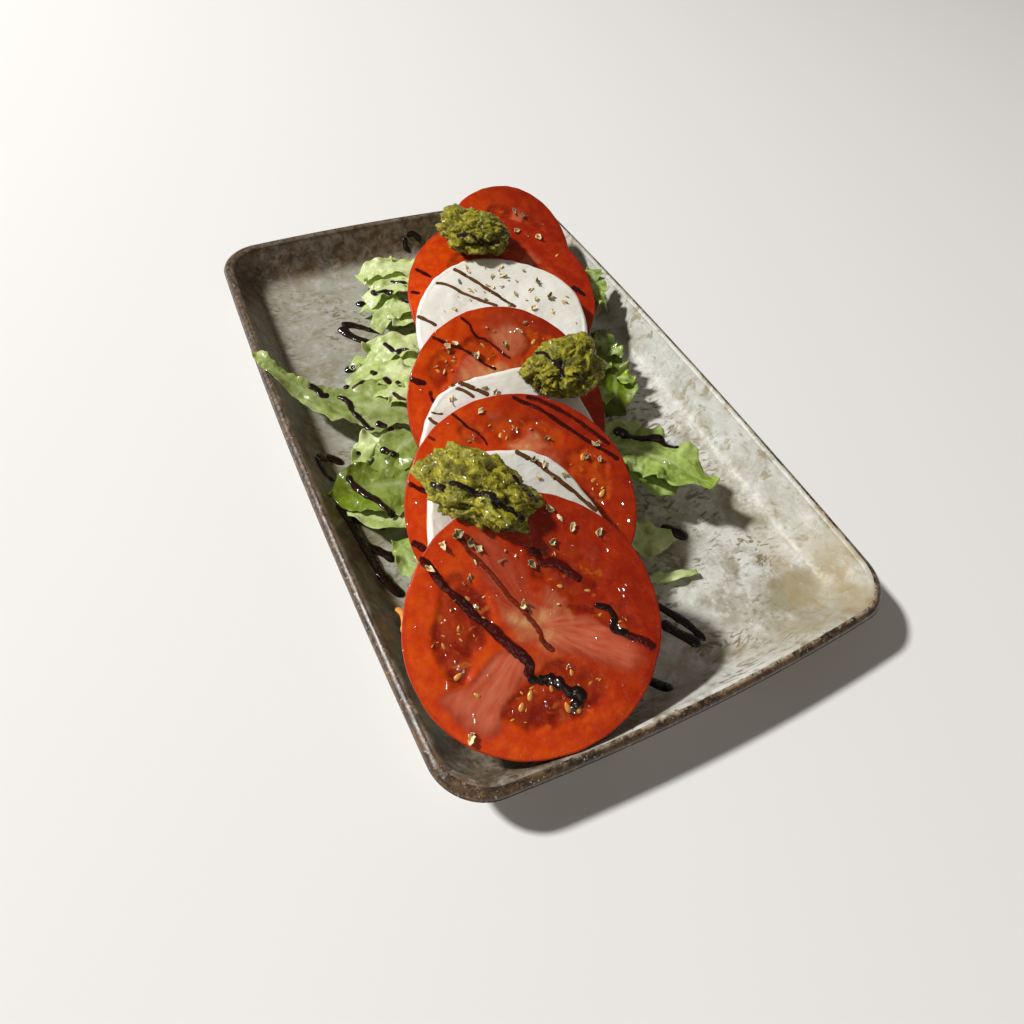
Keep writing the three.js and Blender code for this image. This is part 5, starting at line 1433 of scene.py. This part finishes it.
def make_drops(surface):
    """Small wet drops, scattered over what is seen from above; most of them catch the light."""
    wanted = {kind: count for kind, (count, _) in DROPS.items()}
    parts = []
    for _ in range(DROP_TRIES):
        x, y = (rng.uniform(*limits) for limits in DROP_AREA)
        height, _, owner = surface(x, y)
        kind = owner["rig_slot"] if owner is not None else None
        if wanted.get(kind, 0) <= 0:
            continue
        wanted[kind] -= 1
        radius = DROPS[kind][1] * rng.uniform(0.35, 1) ** 1.4
        scatter = float(rng.choice([0.05, 0.2]))
        vertices, faces = drop_body(radius, Vector(CATCH) + scatter * Vector(rng.normal(size=3)))
        parts.append((vertices + (x, y, height + 0.1 * radius), faces, {}))
    for name, places in GLINTS.items():
        for x, y, radius in places:
            vertices, faces = drop_body(1.1 * radius, Vector(CATCH) + 0.03 * Vector(rng.normal(size=3)))
            on_glaze = any(math.dist((x, y), bead[:2]) < bead[2] + 0.5 for bead in BEADS.get(name, []))
            ground = ground_at(name, x, y) + 0.3 * radius + 0.6 * on_glaze
            parts.append((vertices + to_world(SLICES[name], (x, y, ground)), faces, {}))
    vertices, polygons, _ = joined(parts)
    return make("wet_drops", vertices, polygons, drop_material())


def make_seeds(material):
    """Seeds at their places, and slivers in the chambers round them."""
    parts = []
    for name, places in SEEDS.items():
        for x, y, turn in places:
            size = np.array(SEED_SIZE) * rng.uniform(0.65, 1.08)
            body = grain_body("seed", size, rng.uniform(0.2, 1))
            lift = rng.choice([0.02, -0.22])
            parts.append(laid(name, x, y, math.radians(turn), lift, body, rng.uniform(-0.15, 0.15, 2)))
        # slivers and unripe seeds, scattered in the chambers
        radius = SLICES[name]["radius"]
        wanted = SLIVERS
        while wanted:
            x, y = rng.uniform(-radius, radius, 2)
            if chamber_depth(name, np.array([x]), np.array([y]))[0] < 0.6:
                continue
            wanted -= 1
            size = np.array(SLIVER_SIZE) * rng.uniform(0.6, 1.3)
            body = grain_body("seed", size, rng.uniform(0.5, 1.1))
            parts.append(laid(name, x, y, rng.uniform(0, math.pi), 0.02, body, rng.uniform(-0.4, 0.4, 2)))
    vertices, faces, values = joined(parts)
    return make("tomato_seeds", vertices, faces, material, attributes=values)


def flake_body():
    """A scrap of dried leaf: a small pointed boat with a pale rim, bent along its length."""
    crumb = rng.uniform() < 0.3
    length = rng.uniform(0.7, 1.2) if crumb else rng.uniform(1.7, 3.3)
    half = length * rng.uniform(0.12, 0.4)
    cup, bend, twist = half * rng.uniform(0, 0.9), rng.uniform(-0.1, 0.25), rng.uniform(-0.9, 0.9)
    rows, columns = 8, 7
    u, v = np.meshgrid(np.linspace(-1, 1, rows), np.linspace(-1, 1, columns), indexing="ij")
    torn = 1 + 0.45 * rng.uniform(-1, 1, (rows, 1)) + 0.25 * rng.uniform(-1, 1, (rows, columns))
    across = half * v * torn * (0.1 + 0.9 * (1 - u**2)) * (1 + 0.5 * u * rng.uniform(-1, 1))
    x = u * length / 2 + rng.uniform(-0.9, 0.9) * across * v
    z = cup * v**2 + bend * length * u**2 + twist * half * u * v + 0.08 * rng.uniform(-1, 1, (rows, columns))
    tone = rng.uniform(-0.1, 0.9) + 0.5 * np.abs(v) ** 3 + 0.25 * rng.uniform(-1, 1, (rows, columns))
    tones = {"tone": np.clip(tone, 0, 1.2)}
    return sheet_body(np.stack([x, across, z], axis=2), FLAKE_THICKNESS, tones)


def make_flakes(material):
    """Oregano flakes, some at given places and some scattered."""
    spots = [(name, x, y) for name, places in FLAKE_PLACES.items() for x, y in places]
    for name, (count, near, far, first, last) in FLAKES.items():
        for _ in range(count):
            reach = SLICES[name]["radius"] * math.sqrt(rng.uniform(near**2, far**2))
            angle = math.radians(rng.uniform(first, last))
            spots.append((name, reach * math.cos(angle), reach * math.sin(angle)))
    parts = []
    for name, x, y in spots:
        body = flake_body()
        parts.append(laid(name, x, y, rng.uniform(0, 2 * math.pi), 0.35, body, rng.uniform(-0.3, 0.3, 2)))
    vertices, faces, values = joined(parts)
    return make("oregano_flakes", vertices, faces, material, attributes=values)


# ---------------------------------------------------------------- pesto


def ball(splits):
    """Unit directions and faces of an evenly split ball."""
    shape = bmesh.new()
    bmesh.ops.create_icosphere(shape, subdivisions=splits, radius=1)
    vertices = np.array([v.co for v in shape.verts])
    faces = [[v.index for v in f.verts] for f in shape.faces]
    shape.free()
    return vertices, faces


def knobs(directions, spot, half, spin):
    """Rounded knobs with crevices between them, at given places and round the foot."""
    draws = np.random.default_rng(spot["seed"] + 60)
    offset = np.array([(x, y, 0) for x, y in spot["knobs"]]) - np.array(spot["centre"]) * (1, 1, 0)
    centres = offset @ spin / half
    across = np.hypot(centres[:, 0], centres[:, 1])
    centres[:, :2] /= np.maximum(across, 0.85)[:, None] / 0.85
    centres[:, 2] = np.sqrt(np.maximum(1 - (centres[:, :2] ** 2).sum(axis=1), 0))
    angle = np.arange(9) * 2 * np.pi / 9 + draws.uniform(-0.25, 0.25, 9)
    low = np.stack([np.cos(angle), np.sin(angle), draws.uniform(-0.2, 0.35, 9)], axis=1)
    centres = np.vstack([centres, low / np.linalg.norm(low, axis=1)[:, None]])
    shift = [noise(directions * 3.4, spot["seed"] + 70 + k) for k in range(3)]
    warped = directions + 0.2 * np.stack(shift, axis=1)
    away = np.sort(np.linalg.norm(warped[:, None] - centres[None], axis=2), axis=1)
    between = away[:, 1] - away[:, 0]
    height = KNOB["height"] * (0.45 - away[:, 0])
    return height - KNOB["crevice"] * np.exp(-((between / KNOB["width"]) ** 2)) * smooth(away[:, 0], 0.1, 0.3)


def make_dollop(name, material, base):
    """A spoonful of pesto with knobs, folds and torn bits of leaf."""
    spot = DOLLOPS[name]
    directions, faces = base
    swell = np.ones(len(directions)) - DOLLOP_TRIM
    for n, (count, height) in enumerate(LUMPS):
        swell += height * noise(directions * count, spot["seed"] + n)
    half = np.array(spot["half"])
    turn = math.radians(spot["turn"])
    spin = np.array([[math.cos(turn), -math.sin(turn), 0], [math.sin(turn), math.cos(turn), 0], [0, 0, 1]])
    lumpy = knobs(directions, spot, half, spin)
    swell += lumpy
    # folds drawn out along bent lines, as when paste is spooned
    bent = directions.copy()
    for axis in range(3):
        bent[:, axis] += 0.3 * noise(directions * 2.1, spot["seed"] + 40 + axis)
    fine = np.zeros(len(directions))
    for n, (count, height) in enumerate(FOLDS):
        drawn = bent * count * np.array([0.6, 1.25, 1.1])
        fine += height * (1 - 2.6 * np.abs(noise(drawn, spot["seed"] + 5 + n)))
    facing_out = np.degrees(np.arctan2(directions[:, 1] * half[1], directions[:, 0] * half[0])) + spot["turn"]
    outline = np.zeros(len(directions))
    for share, place, width in spot["dents"]:
        apart = (facing_out - place + 180) % 360 - 180
        outline += share * np.exp(-((apart / width) ** 2))
    swell += outline * np.hypot(directions[:, 0], directions[:, 1])
    pit = np.zeros(len(directions))
    if "pocket" in spot:
        px, py, width, depth = spot["pocket"]
        heading = (np.array((px, py, 0)) - np.array(spot["centre"]) * (1, 1, 0)) @ spin / half
        heading[2] = math.sqrt(max(0, 1 - heading[0] ** 2 - heading[1] ** 2))
        pit = np.exp(-((np.linalg.norm(directions - heading, axis=1) / width) ** 2))
        swell -= depth * pit
    solid = (directions * (swell + fine)[:, None] * half) @ spin.T + np.array(spot["centre"])
    rested = slice_floor(solid, 0.06)
    # painted shade in the creases, between the knobs and in the pocket
    painted_shade_in_hollows = [smooth(-fine, 0, 0.1) * 0.85, smooth(-lumpy, 0.02, 0.1) * 0.8, smooth(pit, 0.3, 0.8)]
    # painted light on the raised folds and knobs
    tint_and_ridge_light = 0.6 * smooth(fine + 0.4 * lumpy, 0.04, 0.14)
    parts = [(rested, faces, {"hollow": np.maximum.reduce(painted_shade_in_hollows), "tint_and_ridge_light": tint_and_ridge_light})]
    # torn bits of leaf, most of them flat on the paste
    upper = np.flatnonzero((directions[:, 2] > -0.15) & (np.abs(rested - solid).max(axis=1) < 0.01))
    for index in rng.choice(upper, LEAF_BITS, replace=False):
        size = (rng.uniform(0.8, 1.8), rng.uniform(0.4, 0.9), rng.uniform(0.2, 0.4))
        vertices, polygons, _ = grain_body("flake", size, 0)
        normal = spin @ (directions[index] / half)
        normal /= np.linalg.norm(normal)
        facing = Vector(normal) + 0.22 * Vector(rng.normal(size=3))
        rolled = Matrix.Rotation(rng.uniform(0, 2 * math.pi), 3, "Z")
        frame_of_bit = np.array(facing.to_track_quat("Z", "Y").to_matrix() @ rolled)
        bit = vertices @ frame_of_bit.T + rested[index] + 0.1 * normal
        tint_and_ridge_light = rng.choice([0.0, 0.3, 0.9])
        dark = 0.7 if tint_and_ridge_light == 0 and rng.uniform() < 0.4 else 0.0
        parts.append((bit, polygons, {"hollow": np.full(len(bit), dark), "tint_and_ridge_light": np.full(len(bit), tint_and_ridge_light)}))
    vertices, polygons, values = joined(parts)
    return make(name + "_paste", vertices, polygons, material, "pesto", [name], values)


# ---------------------------------------------------------------- lettuce


def bed_height(x, y, across):
    """Height of the heap of lettuce, kept under the slices."""
    size, height = BED["lump"]
    floor = plate_top(x, y) + 0.35
    lumps = height * flat_noise(x, y, size, 31)
    mound = floor + BED["height"] * np.clip(1 - np.abs(across) ** 2.5, 0, None) + lumps
    room = ceiling(x, y, BED["slice_past"]) - 0.35 - BED["leaf_room"]
    return np.maximum(floor + BED["rim"], np.minimum(mound, room))


def bed_across(x, y):
    """Share of the bed's half width at points, and their share of its length."""
    (x0, y0), (x1, y1) = BED["front"], BED["back"]
    length = math.hypot(x1 - x0, y1 - y0)
    ux, uy = (x1 - x0) / length, (y1 - y0) / length
    place = ((x - x0) * ux + (y - y0) * uy) / length
    return (-(x - x0) * uy + (y - y0) * ux) / BED["half_width"], place


def settle(x, y, z, below, above):
    """Keeps heights over the plate and the bed and under the slices."""
    across, place = bed_across(x, y)
    on_bed = (np.abs(across) < 1.1) & (place > -0.04) & (place < 1.04)
    lowest = plate_top(x, y)
    lowest = np.where(on_bed, np.maximum(lowest, bed_height(x, y, across)), lowest) + below
    highest = ceiling(x, y, 3) - above
    return np.minimum(np.maximum(z, lowest), np.maximum(highest, lowest))


def sheet_body(middle, thickness, values):
    """A thin closed sheet round a grid of points, with its values on both faces."""
    rows, columns, _ = middle.shape
    along_u = np.gradient(middle, axis=0)
    along_v = np.gradient(middle, axis=1)
    normal = np.cross(along_u, along_v)
    normal /= np.linalg.norm(normal, axis=2)[..., None] + 1e-12
    v = np.abs(np.linspace(-1, 1, columns))[None, :, None]
    half = thickness / 2 * (1 - 0.5 * v**4)
    upper, lower = (middle + normal * half).reshape(-1, 3), (middle - normal * half).reshape(-1, 3)
    doubled = {key: np.tile(value.ravel(), 2) for key, value in values.items()}
    return np.vstack([upper, lower]), slab_faces(rows, columns), doubled


def leaf_body(leaf, seed, lobe=False):
    """A crinkled leaf whose edges curl in small frills."""
    spine = np.asarray(leaf["spine"], float)
    length = np.linalg.norm(np.diff(spine, axis=0), axis=1).sum()
    step = leaf.get("step", 1)
    rows = max(28, int(length / (FINENESS["leaf_along"] * step)))
    columns = max(19, int(max(leaf["widths"]) / (FINENESS["leaf_across"] * step)) | 1)
    u = np.linspace(0, 1, rows)
    middle = curve(spine, rows)
    tangent = np.gradient(middle, axis=0)
    tangent[:, 2] = 0
    tangent /= np.linalg.norm(tangent, axis=1)[:, None]
    uu, vv = np.meshgrid(u, np.linspace(-1, 1, columns), indexing="ij")
    half = along(leaf["widths"], u)[:, None]
    side = np.sign(vv)
    distance = uu * length
    edge = np.abs(vv) ** 2
    ragged = 1 + 0.2 * edge * flat_noise(distance, side * 9, 4, seed)
    ragged = ragged + 0.09 * edge * flat_noise(distance, side * 7, 1.3, seed + 1)
    reach = vv * half * ragged
    # slow waves, and frills that stand up and curl over near the edge
    slow = 2 * np.pi * leaf["waves"] * uu + np.where(vv > 0, 0, 1.9) + seed
    slow = slow + 0.9 * flat_noise(distance, vv * 3, 6, seed + 2)
    quick = distance * (2 * np.pi / 8.5) + 3.4 * flat_noise(distance, side * 5, 7, seed + 6)
    strong = 0.75 + 0.6 * flat_noise(distance, side * 6, 9, seed + 7)
    curl = np.abs(vv) ** 2.4 * np.minimum(1, half / 5) * leaf.get("frill", 1) * strong
    reach = reach + side * curl * 0.5 * np.cos(quick)
    forward = curl * 0.8 * np.sin(quick * 0.5)
    x = middle[:, 0][:, None] - tangent[:, 1][:, None] * reach + tangent[:, 0][:, None] * forward
    y = middle[:, 1][:, None] + tangent[:, 0][:, None] * reach + tangent[:, 1][:, None] * forward
    blister = flat_noise(distance, reach, 3, seed + 3) + 0.5 * flat_noise(distance, reach, 1.5, seed + 5)
    blister = blister * (1 - 0.7 * np.exp(-((vv / 0.16) ** 2))) * smooth(half, 1, 6)
    z = middle[:, 2][:, None] + leaf["ruffle"] * edge * np.sin(slow) + leaf["rise"] * half * edge
    z = z + 1.4 * curl * np.sin(quick) + leaf.get("blister", 0.55) * blister
    z = z + 0.35 * edge * flat_noise(distance, side * 4, 1.8, seed + 8)
    z = settle(x, y, z, 0.55 + 1.2 * curl * (1 + np.sin(quick)) + 0.3 * (1 + blister), 0.7)
    rib = np.exp(-((vv * half / (0.5 + 0.9 * (1 - uu))) ** 2)) * (1 - uu) ** 0.5
    end = leaf.get("tip", leaf["pale"])
    pale = leaf["pale"] + (end - leaf["pale"]) * smooth(uu, 0.8, 1) + 0.3 * (1 - uu) * (not lobe)
    pale = np.clip(pale + 0.15 * flat_noise(distance, reach, 8, seed + 4) + 0.25 * curl, 0, 1)
    # painted shade: darker green in the blisters' hollows and under the curled frills
    deep_green_and_shade = smooth(-blister, 0.2, 1) * 0.35 + 0.3 * smooth(-np.sin(quick) * curl, 0.3, 1)
    # the green setting darkens the leaf; on leaf_mid_right and on leaf_long_left short of its tip it is
    # painted shade
    greener = leaf.get("green", 0) * (1 - smooth(uu, 0.85, 0.97) * ("tip" in leaf))
    deep_green_and_shade = np.clip(deep_green_and_shade + greener * (0.75 + 0.5 * flat_noise(distance, reach, 9, seed + 9)), 0, 1)
    points = np.stack([x, y, z], axis=2)
    return sheet_body(points, LEAF_THICKNESS, {"rib": rib * 0.8, "pale": pale, "deep_green_and_shade": deep_green_and_shade}), points


def lobes(leaf, points, count, seed):
    """Small curls that grow from a leaf's upper side."""
    draws = np.random.default_rng(seed)
    rows, columns, _ = points.shape
    made = []
    for k in range(count):
        row = int(rows * (0.1 + 0.78 * (k + draws.uniform(0.2, 0.8)) / count))
        side = 1 if k % 2 else -1
        column = int(columns * (0.5 + side * draws.uniform(0.05, 0.3)))
        start = points[row, column]
        ahead = points[min(row + 4, rows - 1), column] - points[max(row - 4, 0), column]
        heading = math.atan2(ahead[1], ahead[0]) + side * math.radians(draws.uniform(25, 75))
        size = draws.uniform(0.7, 1.1) * (4 + 0.45 * max(leaf["widths"]))
        step = np.array([math.cos(heading), math.sin(heading)]) * size / 2
        line = [(*(start[:2] + step * n), start[2] + (0.4, 2.2, 1.4)[n]) for n in range(3)]
        widths = np.array([0.3, 0.62, 0.36]) * size
        small = dict(spine=line, widths=tuple(widths), ruffle=0.16 * size, waves=1.5, rise=0.1,
                     pale=min(1, leaf["pale"] + draws.uniform(-0.1, 0.35)), blister=0.5)
        made.append(leaf_body(small, seed + 11 * k, lobe=True)[0])
    return made


def make_leaf(name, index, material):
    """A leaf with the small curls and the folds that belong to it."""
    leaf = LEAVES[name]
    body, points = leaf_body(leaf, 3 * index + 5)
    parts = [body] + lobes(leaf, points, leaf.get("lobes", 0), 100 + 17 * index)
    parts += [leaf_body(tuft, 400 + 7 * k)[0] for k, tuft in enumerate(TUFTS) if tuft["of"] == name]
    vertices, faces, values = joined(parts)
    return make(name + "_frilled", vertices, faces, material, "lettuce", [name], values)


def flank_leaves(start, end, line):
    """Small leaves that hang over the heap's sides and its back end."""
    draws = np.random.default_rng(77)
    across = np.array([-line[1], line[0]])
    places = [(t, side) for side in (-1, 1) for t in np.linspace(0.1, 0.95, FLANK["count"])]
    places += [(1.0, -0.5), (1.0, 0.0), (1.0, 0.5)]
    made = []
    for k, (t, side) in enumerate(places):
        outward = across * side + line * (draws.uniform(-0.5, 0.5) if t < 1 else 1)
        outward /= np.linalg.norm(outward)
        centre = start + (end - start) * t + across * side * BED["half_width"] * FLANK["start"]
        reach = [centre + outward * d for d in FLANK["reach"]]
        spine = [(*p, float(z)) for p, z in zip(reach, FLANK["heights"])]
        leaf = dict(spine=spine, widths=FLANK["widths"], ruffle=1.5, waves=2.5, rise=0.06,
                    pale=draws.uniform(0.1, 0.6), frill=0.9, step=1.7)
        made.append(leaf_body(leaf, 600 + 9 * k)[0])
    return made


def make_bed(material):
    """The heap under the slices: a crinkled mound with small leaves over its flanks."""
    rows, columns = FINENESS["bed"]
    start, end = np.array(BED["front"], float), np.array(BED["back"], float)
    line = (end - start) / np.linalg.norm(end - start)
    u, v = np.linspace(0, 1, rows), np.linspace(-1, 1, columns)
    uu, vv = np.meshgrid(u, v, indexing="ij")
    width = BED["end_share"] + (1 - BED["end_share"]) * (1 - np.abs(2 * uu - 1) ** 6)
    half = BED["half_width"] * width * (1 + 0.06 * flat_noise(uu * 214, np.sign(vv) * 5, 12, 41))
    x = start[0] + (end[0] - start[0]) * uu - line[1] * vv * half
    y = start[1] + (end[1] - start[1]) * uu + line[0] * vv * half
    crinkle = 1.1 * (1 - 2 * np.abs(flat_noise(x, y, 5, 42))) + 0.5 * flat_noise(x, y, 2.2, 43)
    inside = smooth(1 - np.abs(vv), 0, 0.12) * smooth(0.5 - np.abs(uu - 0.5), 0, 0.02)
    base = plate_top(x, y) + 0.3
    rough_top = bed_height(x, y, vv) - 0.9 + crinkle
    z = base + 0.6 + (np.maximum(rough_top, base + 0.8) - base - 0.6) * inside
    z = np.minimum(z, ceiling(x, y, 1) - 0.6)
    # painted shade: the crinkles' hollows are darker green
    values = {"rib": np.zeros(z.size), "pale": 0.35 + 0.3 * flat_noise(x, y, 14, 44).ravel(),
              "deep_green_and_shade": smooth(-crinkle, -0.2, 1.0).ravel()}
    top = np.stack([x, y, z], axis=2).reshape(-1, 3)
    bottom = np.stack([x, y, base], axis=2).reshape(-1, 3)
    faces = [f[::-1] for f in slab_faces(rows, columns)]
    parts = [(np.vstack([top, bottom]), faces, {key: np.tile(value, 2) for key, value in values.items()})]
    parts += flank_leaves(start, end, line)
    vertices, polygons, attributes = joined(parts)
    return make("lettuce_heap", vertices, polygons, material, "lettuce", ["lettuce_bed"], attributes)


def make_shred(material):
    """The small bent shred beside the front slice."""
    start, end, steps = np.array(SHRED["start"]), np.array(SHRED["end"]), SHRED["steps"]
    path = curve([start, (start + end) / 2 + SHRED["arch"], end], steps)
    normals = np.tile([0.0, 0.0, 1.0], (steps, 1))
    vertices, faces, _ = thread_body(path, normals, SHRED["width"], 0, 90)
    tone = {"tone": np.full(len(vertices), 0.6)}
    return make("carrot_curl", vertices, faces, material, "carrot", ["carrot_shred"], tone)


# ---------------------------------------------------------------- stage


def make_stage():
    """A pale floor, a soft key light from the back left, soft fill and an even sky."""
    mesh = bpy.data.meshes.new("floor")
    half = FLOOR["half"]
    corners = [(-half, -half, 0), (half, -half, 0), (half, half, 0), (-half, half, 0)]
    mesh.from_pydata(corners, [], [(0, 1, 2, 3)])
    floor = bpy.data.objects.new("floor", mesh)
    floor.location.z = -FLOOR["drop"]
    paint = bpy.data.materials.new("floor_paint")
    paint.use_nodes = True
    surface = paint.node_tree.nodes["Principled BSDF"]
    surface.inputs["Base Color"].default_value = FLOOR["colour"]
    surface.inputs["Roughness"].default_value = FLOOR["roughness"]
    mesh.materials.append(paint)
    bpy.context.scene.collection.objects.link(floor)
    for name, settings in LIGHTS.items():
        area_light(name, *settings)
    world = bpy.data.worlds.new("sky")
    world.use_nodes = True
    world.node_tree.nodes["Background"].inputs["Color"].default_value = SKY["colour"]
    world.node_tree.nodes["Background"].inputs["Strength"].default_value = SKY["strength"]
    bpy.context.scene.world = world


def area_light(name, direction, distance, size, power, colour):
    """A round light that shines at the salad."""
    data = bpy.data.lights.new(name, "AREA")
    data.shape = "DISK"
    data.size = size
    data.energy = power
    data.color = colour
    light = bpy.data.objects.new(name, data)
    aim = Vector(direction).normalized()
    light.location = aim * distance + Vector(LIGHT_TARGET)
    light.rotation_mode = "QUATERNION"
    light.rotation_quaternion = aim.to_track_quat("Z", "Y")
    bpy.context.scene.collection.objects.link(light)


def make_camera():
    """The photograph's camera."""
    azimuth, elevation, roll = (math.radians(CAMERA[key]) for key in ("azimuth", "elevation", "roll"))
    back = Vector((math.sin(azimuth) * math.cos(elevation), -math.cos(azimuth) * math.cos(elevation),
                   math.sin(elevation)))
    right = Vector((0, 0, 1)).cross(back).normalized()
    up = back.cross(right)
    turned_right = right * math.cos(roll) + up * math.sin(roll)
    turned_up = up * math.cos(roll) - right * math.sin(roll)
    data = bpy.data.cameras.new("camera")
    data.lens = CAMERA["lens"]
    data.sensor_width = CAMERA["sensor"]
    data.clip_start = 0.01
    camera = bpy.data.objects.new("camera", data)
    camera.matrix_world = Matrix((
        (turned_right.x, turned_up.x, back.x, CAMERA["place"][0] * MM),
        (turned_right.y, turned_up.y, back.y, CAMERA["place"][1] * MM),
        (turned_right.z, turned_up.z, back.z, CAMERA["place"][2] * MM),
        (0, 0, 0, 1),
    ))
    bpy.context.scene.collection.objects.link(camera)
    bpy.context.scene.camera = camera


# ---------------------------------------------------------------- the salad

make_stage()
make_camera()
bpy.context.scene.view_settings.view_transform = "Standard"

TOMATO_LOOK, MOZZARELLA_LOOK = tomato_material(), mozzarella_material()
LETTUCE_LOOK, PESTO_LOOK, BALSAMIC_LOOK = lettuce_material(), pesto_material(), balsamic_material()

plate = make_plate(glaze_material())
slices = {}
for name, slice_ in SLICES.items():
    slices[name] = make_slice(name, TOMATO_LOOK if slice_["kind"] is TOMATO else MOZZARELLA_LOOK)

split_ball = ball(FINENESS["dollop_splits"])
dollops = [make_dollop(name, PESTO_LOOK, split_ball) for name in DOLLOPS]
bed = make_bed(LETTUCE_LOOK)
leaves = [make_leaf(name, index, LETTUCE_LOOK) for index, name in enumerate(LEAVES)]
make_shred(speck_material("carrot", (0.6, 0.16, 0.02), (0.8, 0.34, 0.07), 0.4, 0.1))

plate_lines = [(width, 0.0, points) for width, points in PLATE_THREADS]
on_plate = draped_threads(plate_lines, surface_under(plate), 200)
make_glaze("balsamic_on_plate", on_plate)
on_slices = [part for name in SLICES for part in slice_threads(name) + slice_beads(name)]
make_glaze("balsamic_on_slices", on_slices)
everything = surface_under(plate, bed, *leaves, *dollops, *slices.values())
on_top = draped_threads(TOP_THREADS, everything, 300)
make_glaze("balsamic_on_top", on_top)

make_drops(everything)
make_seeds(speck_material("seed", (0.42, 0.1, 0.01), (0.66, 0.3, 0.06), 0.25, 0.2))
make_flakes(speck_material("oregano", (0.14, 0.115, 0.035), (0.74, 0.61, 0.33), 0.6))
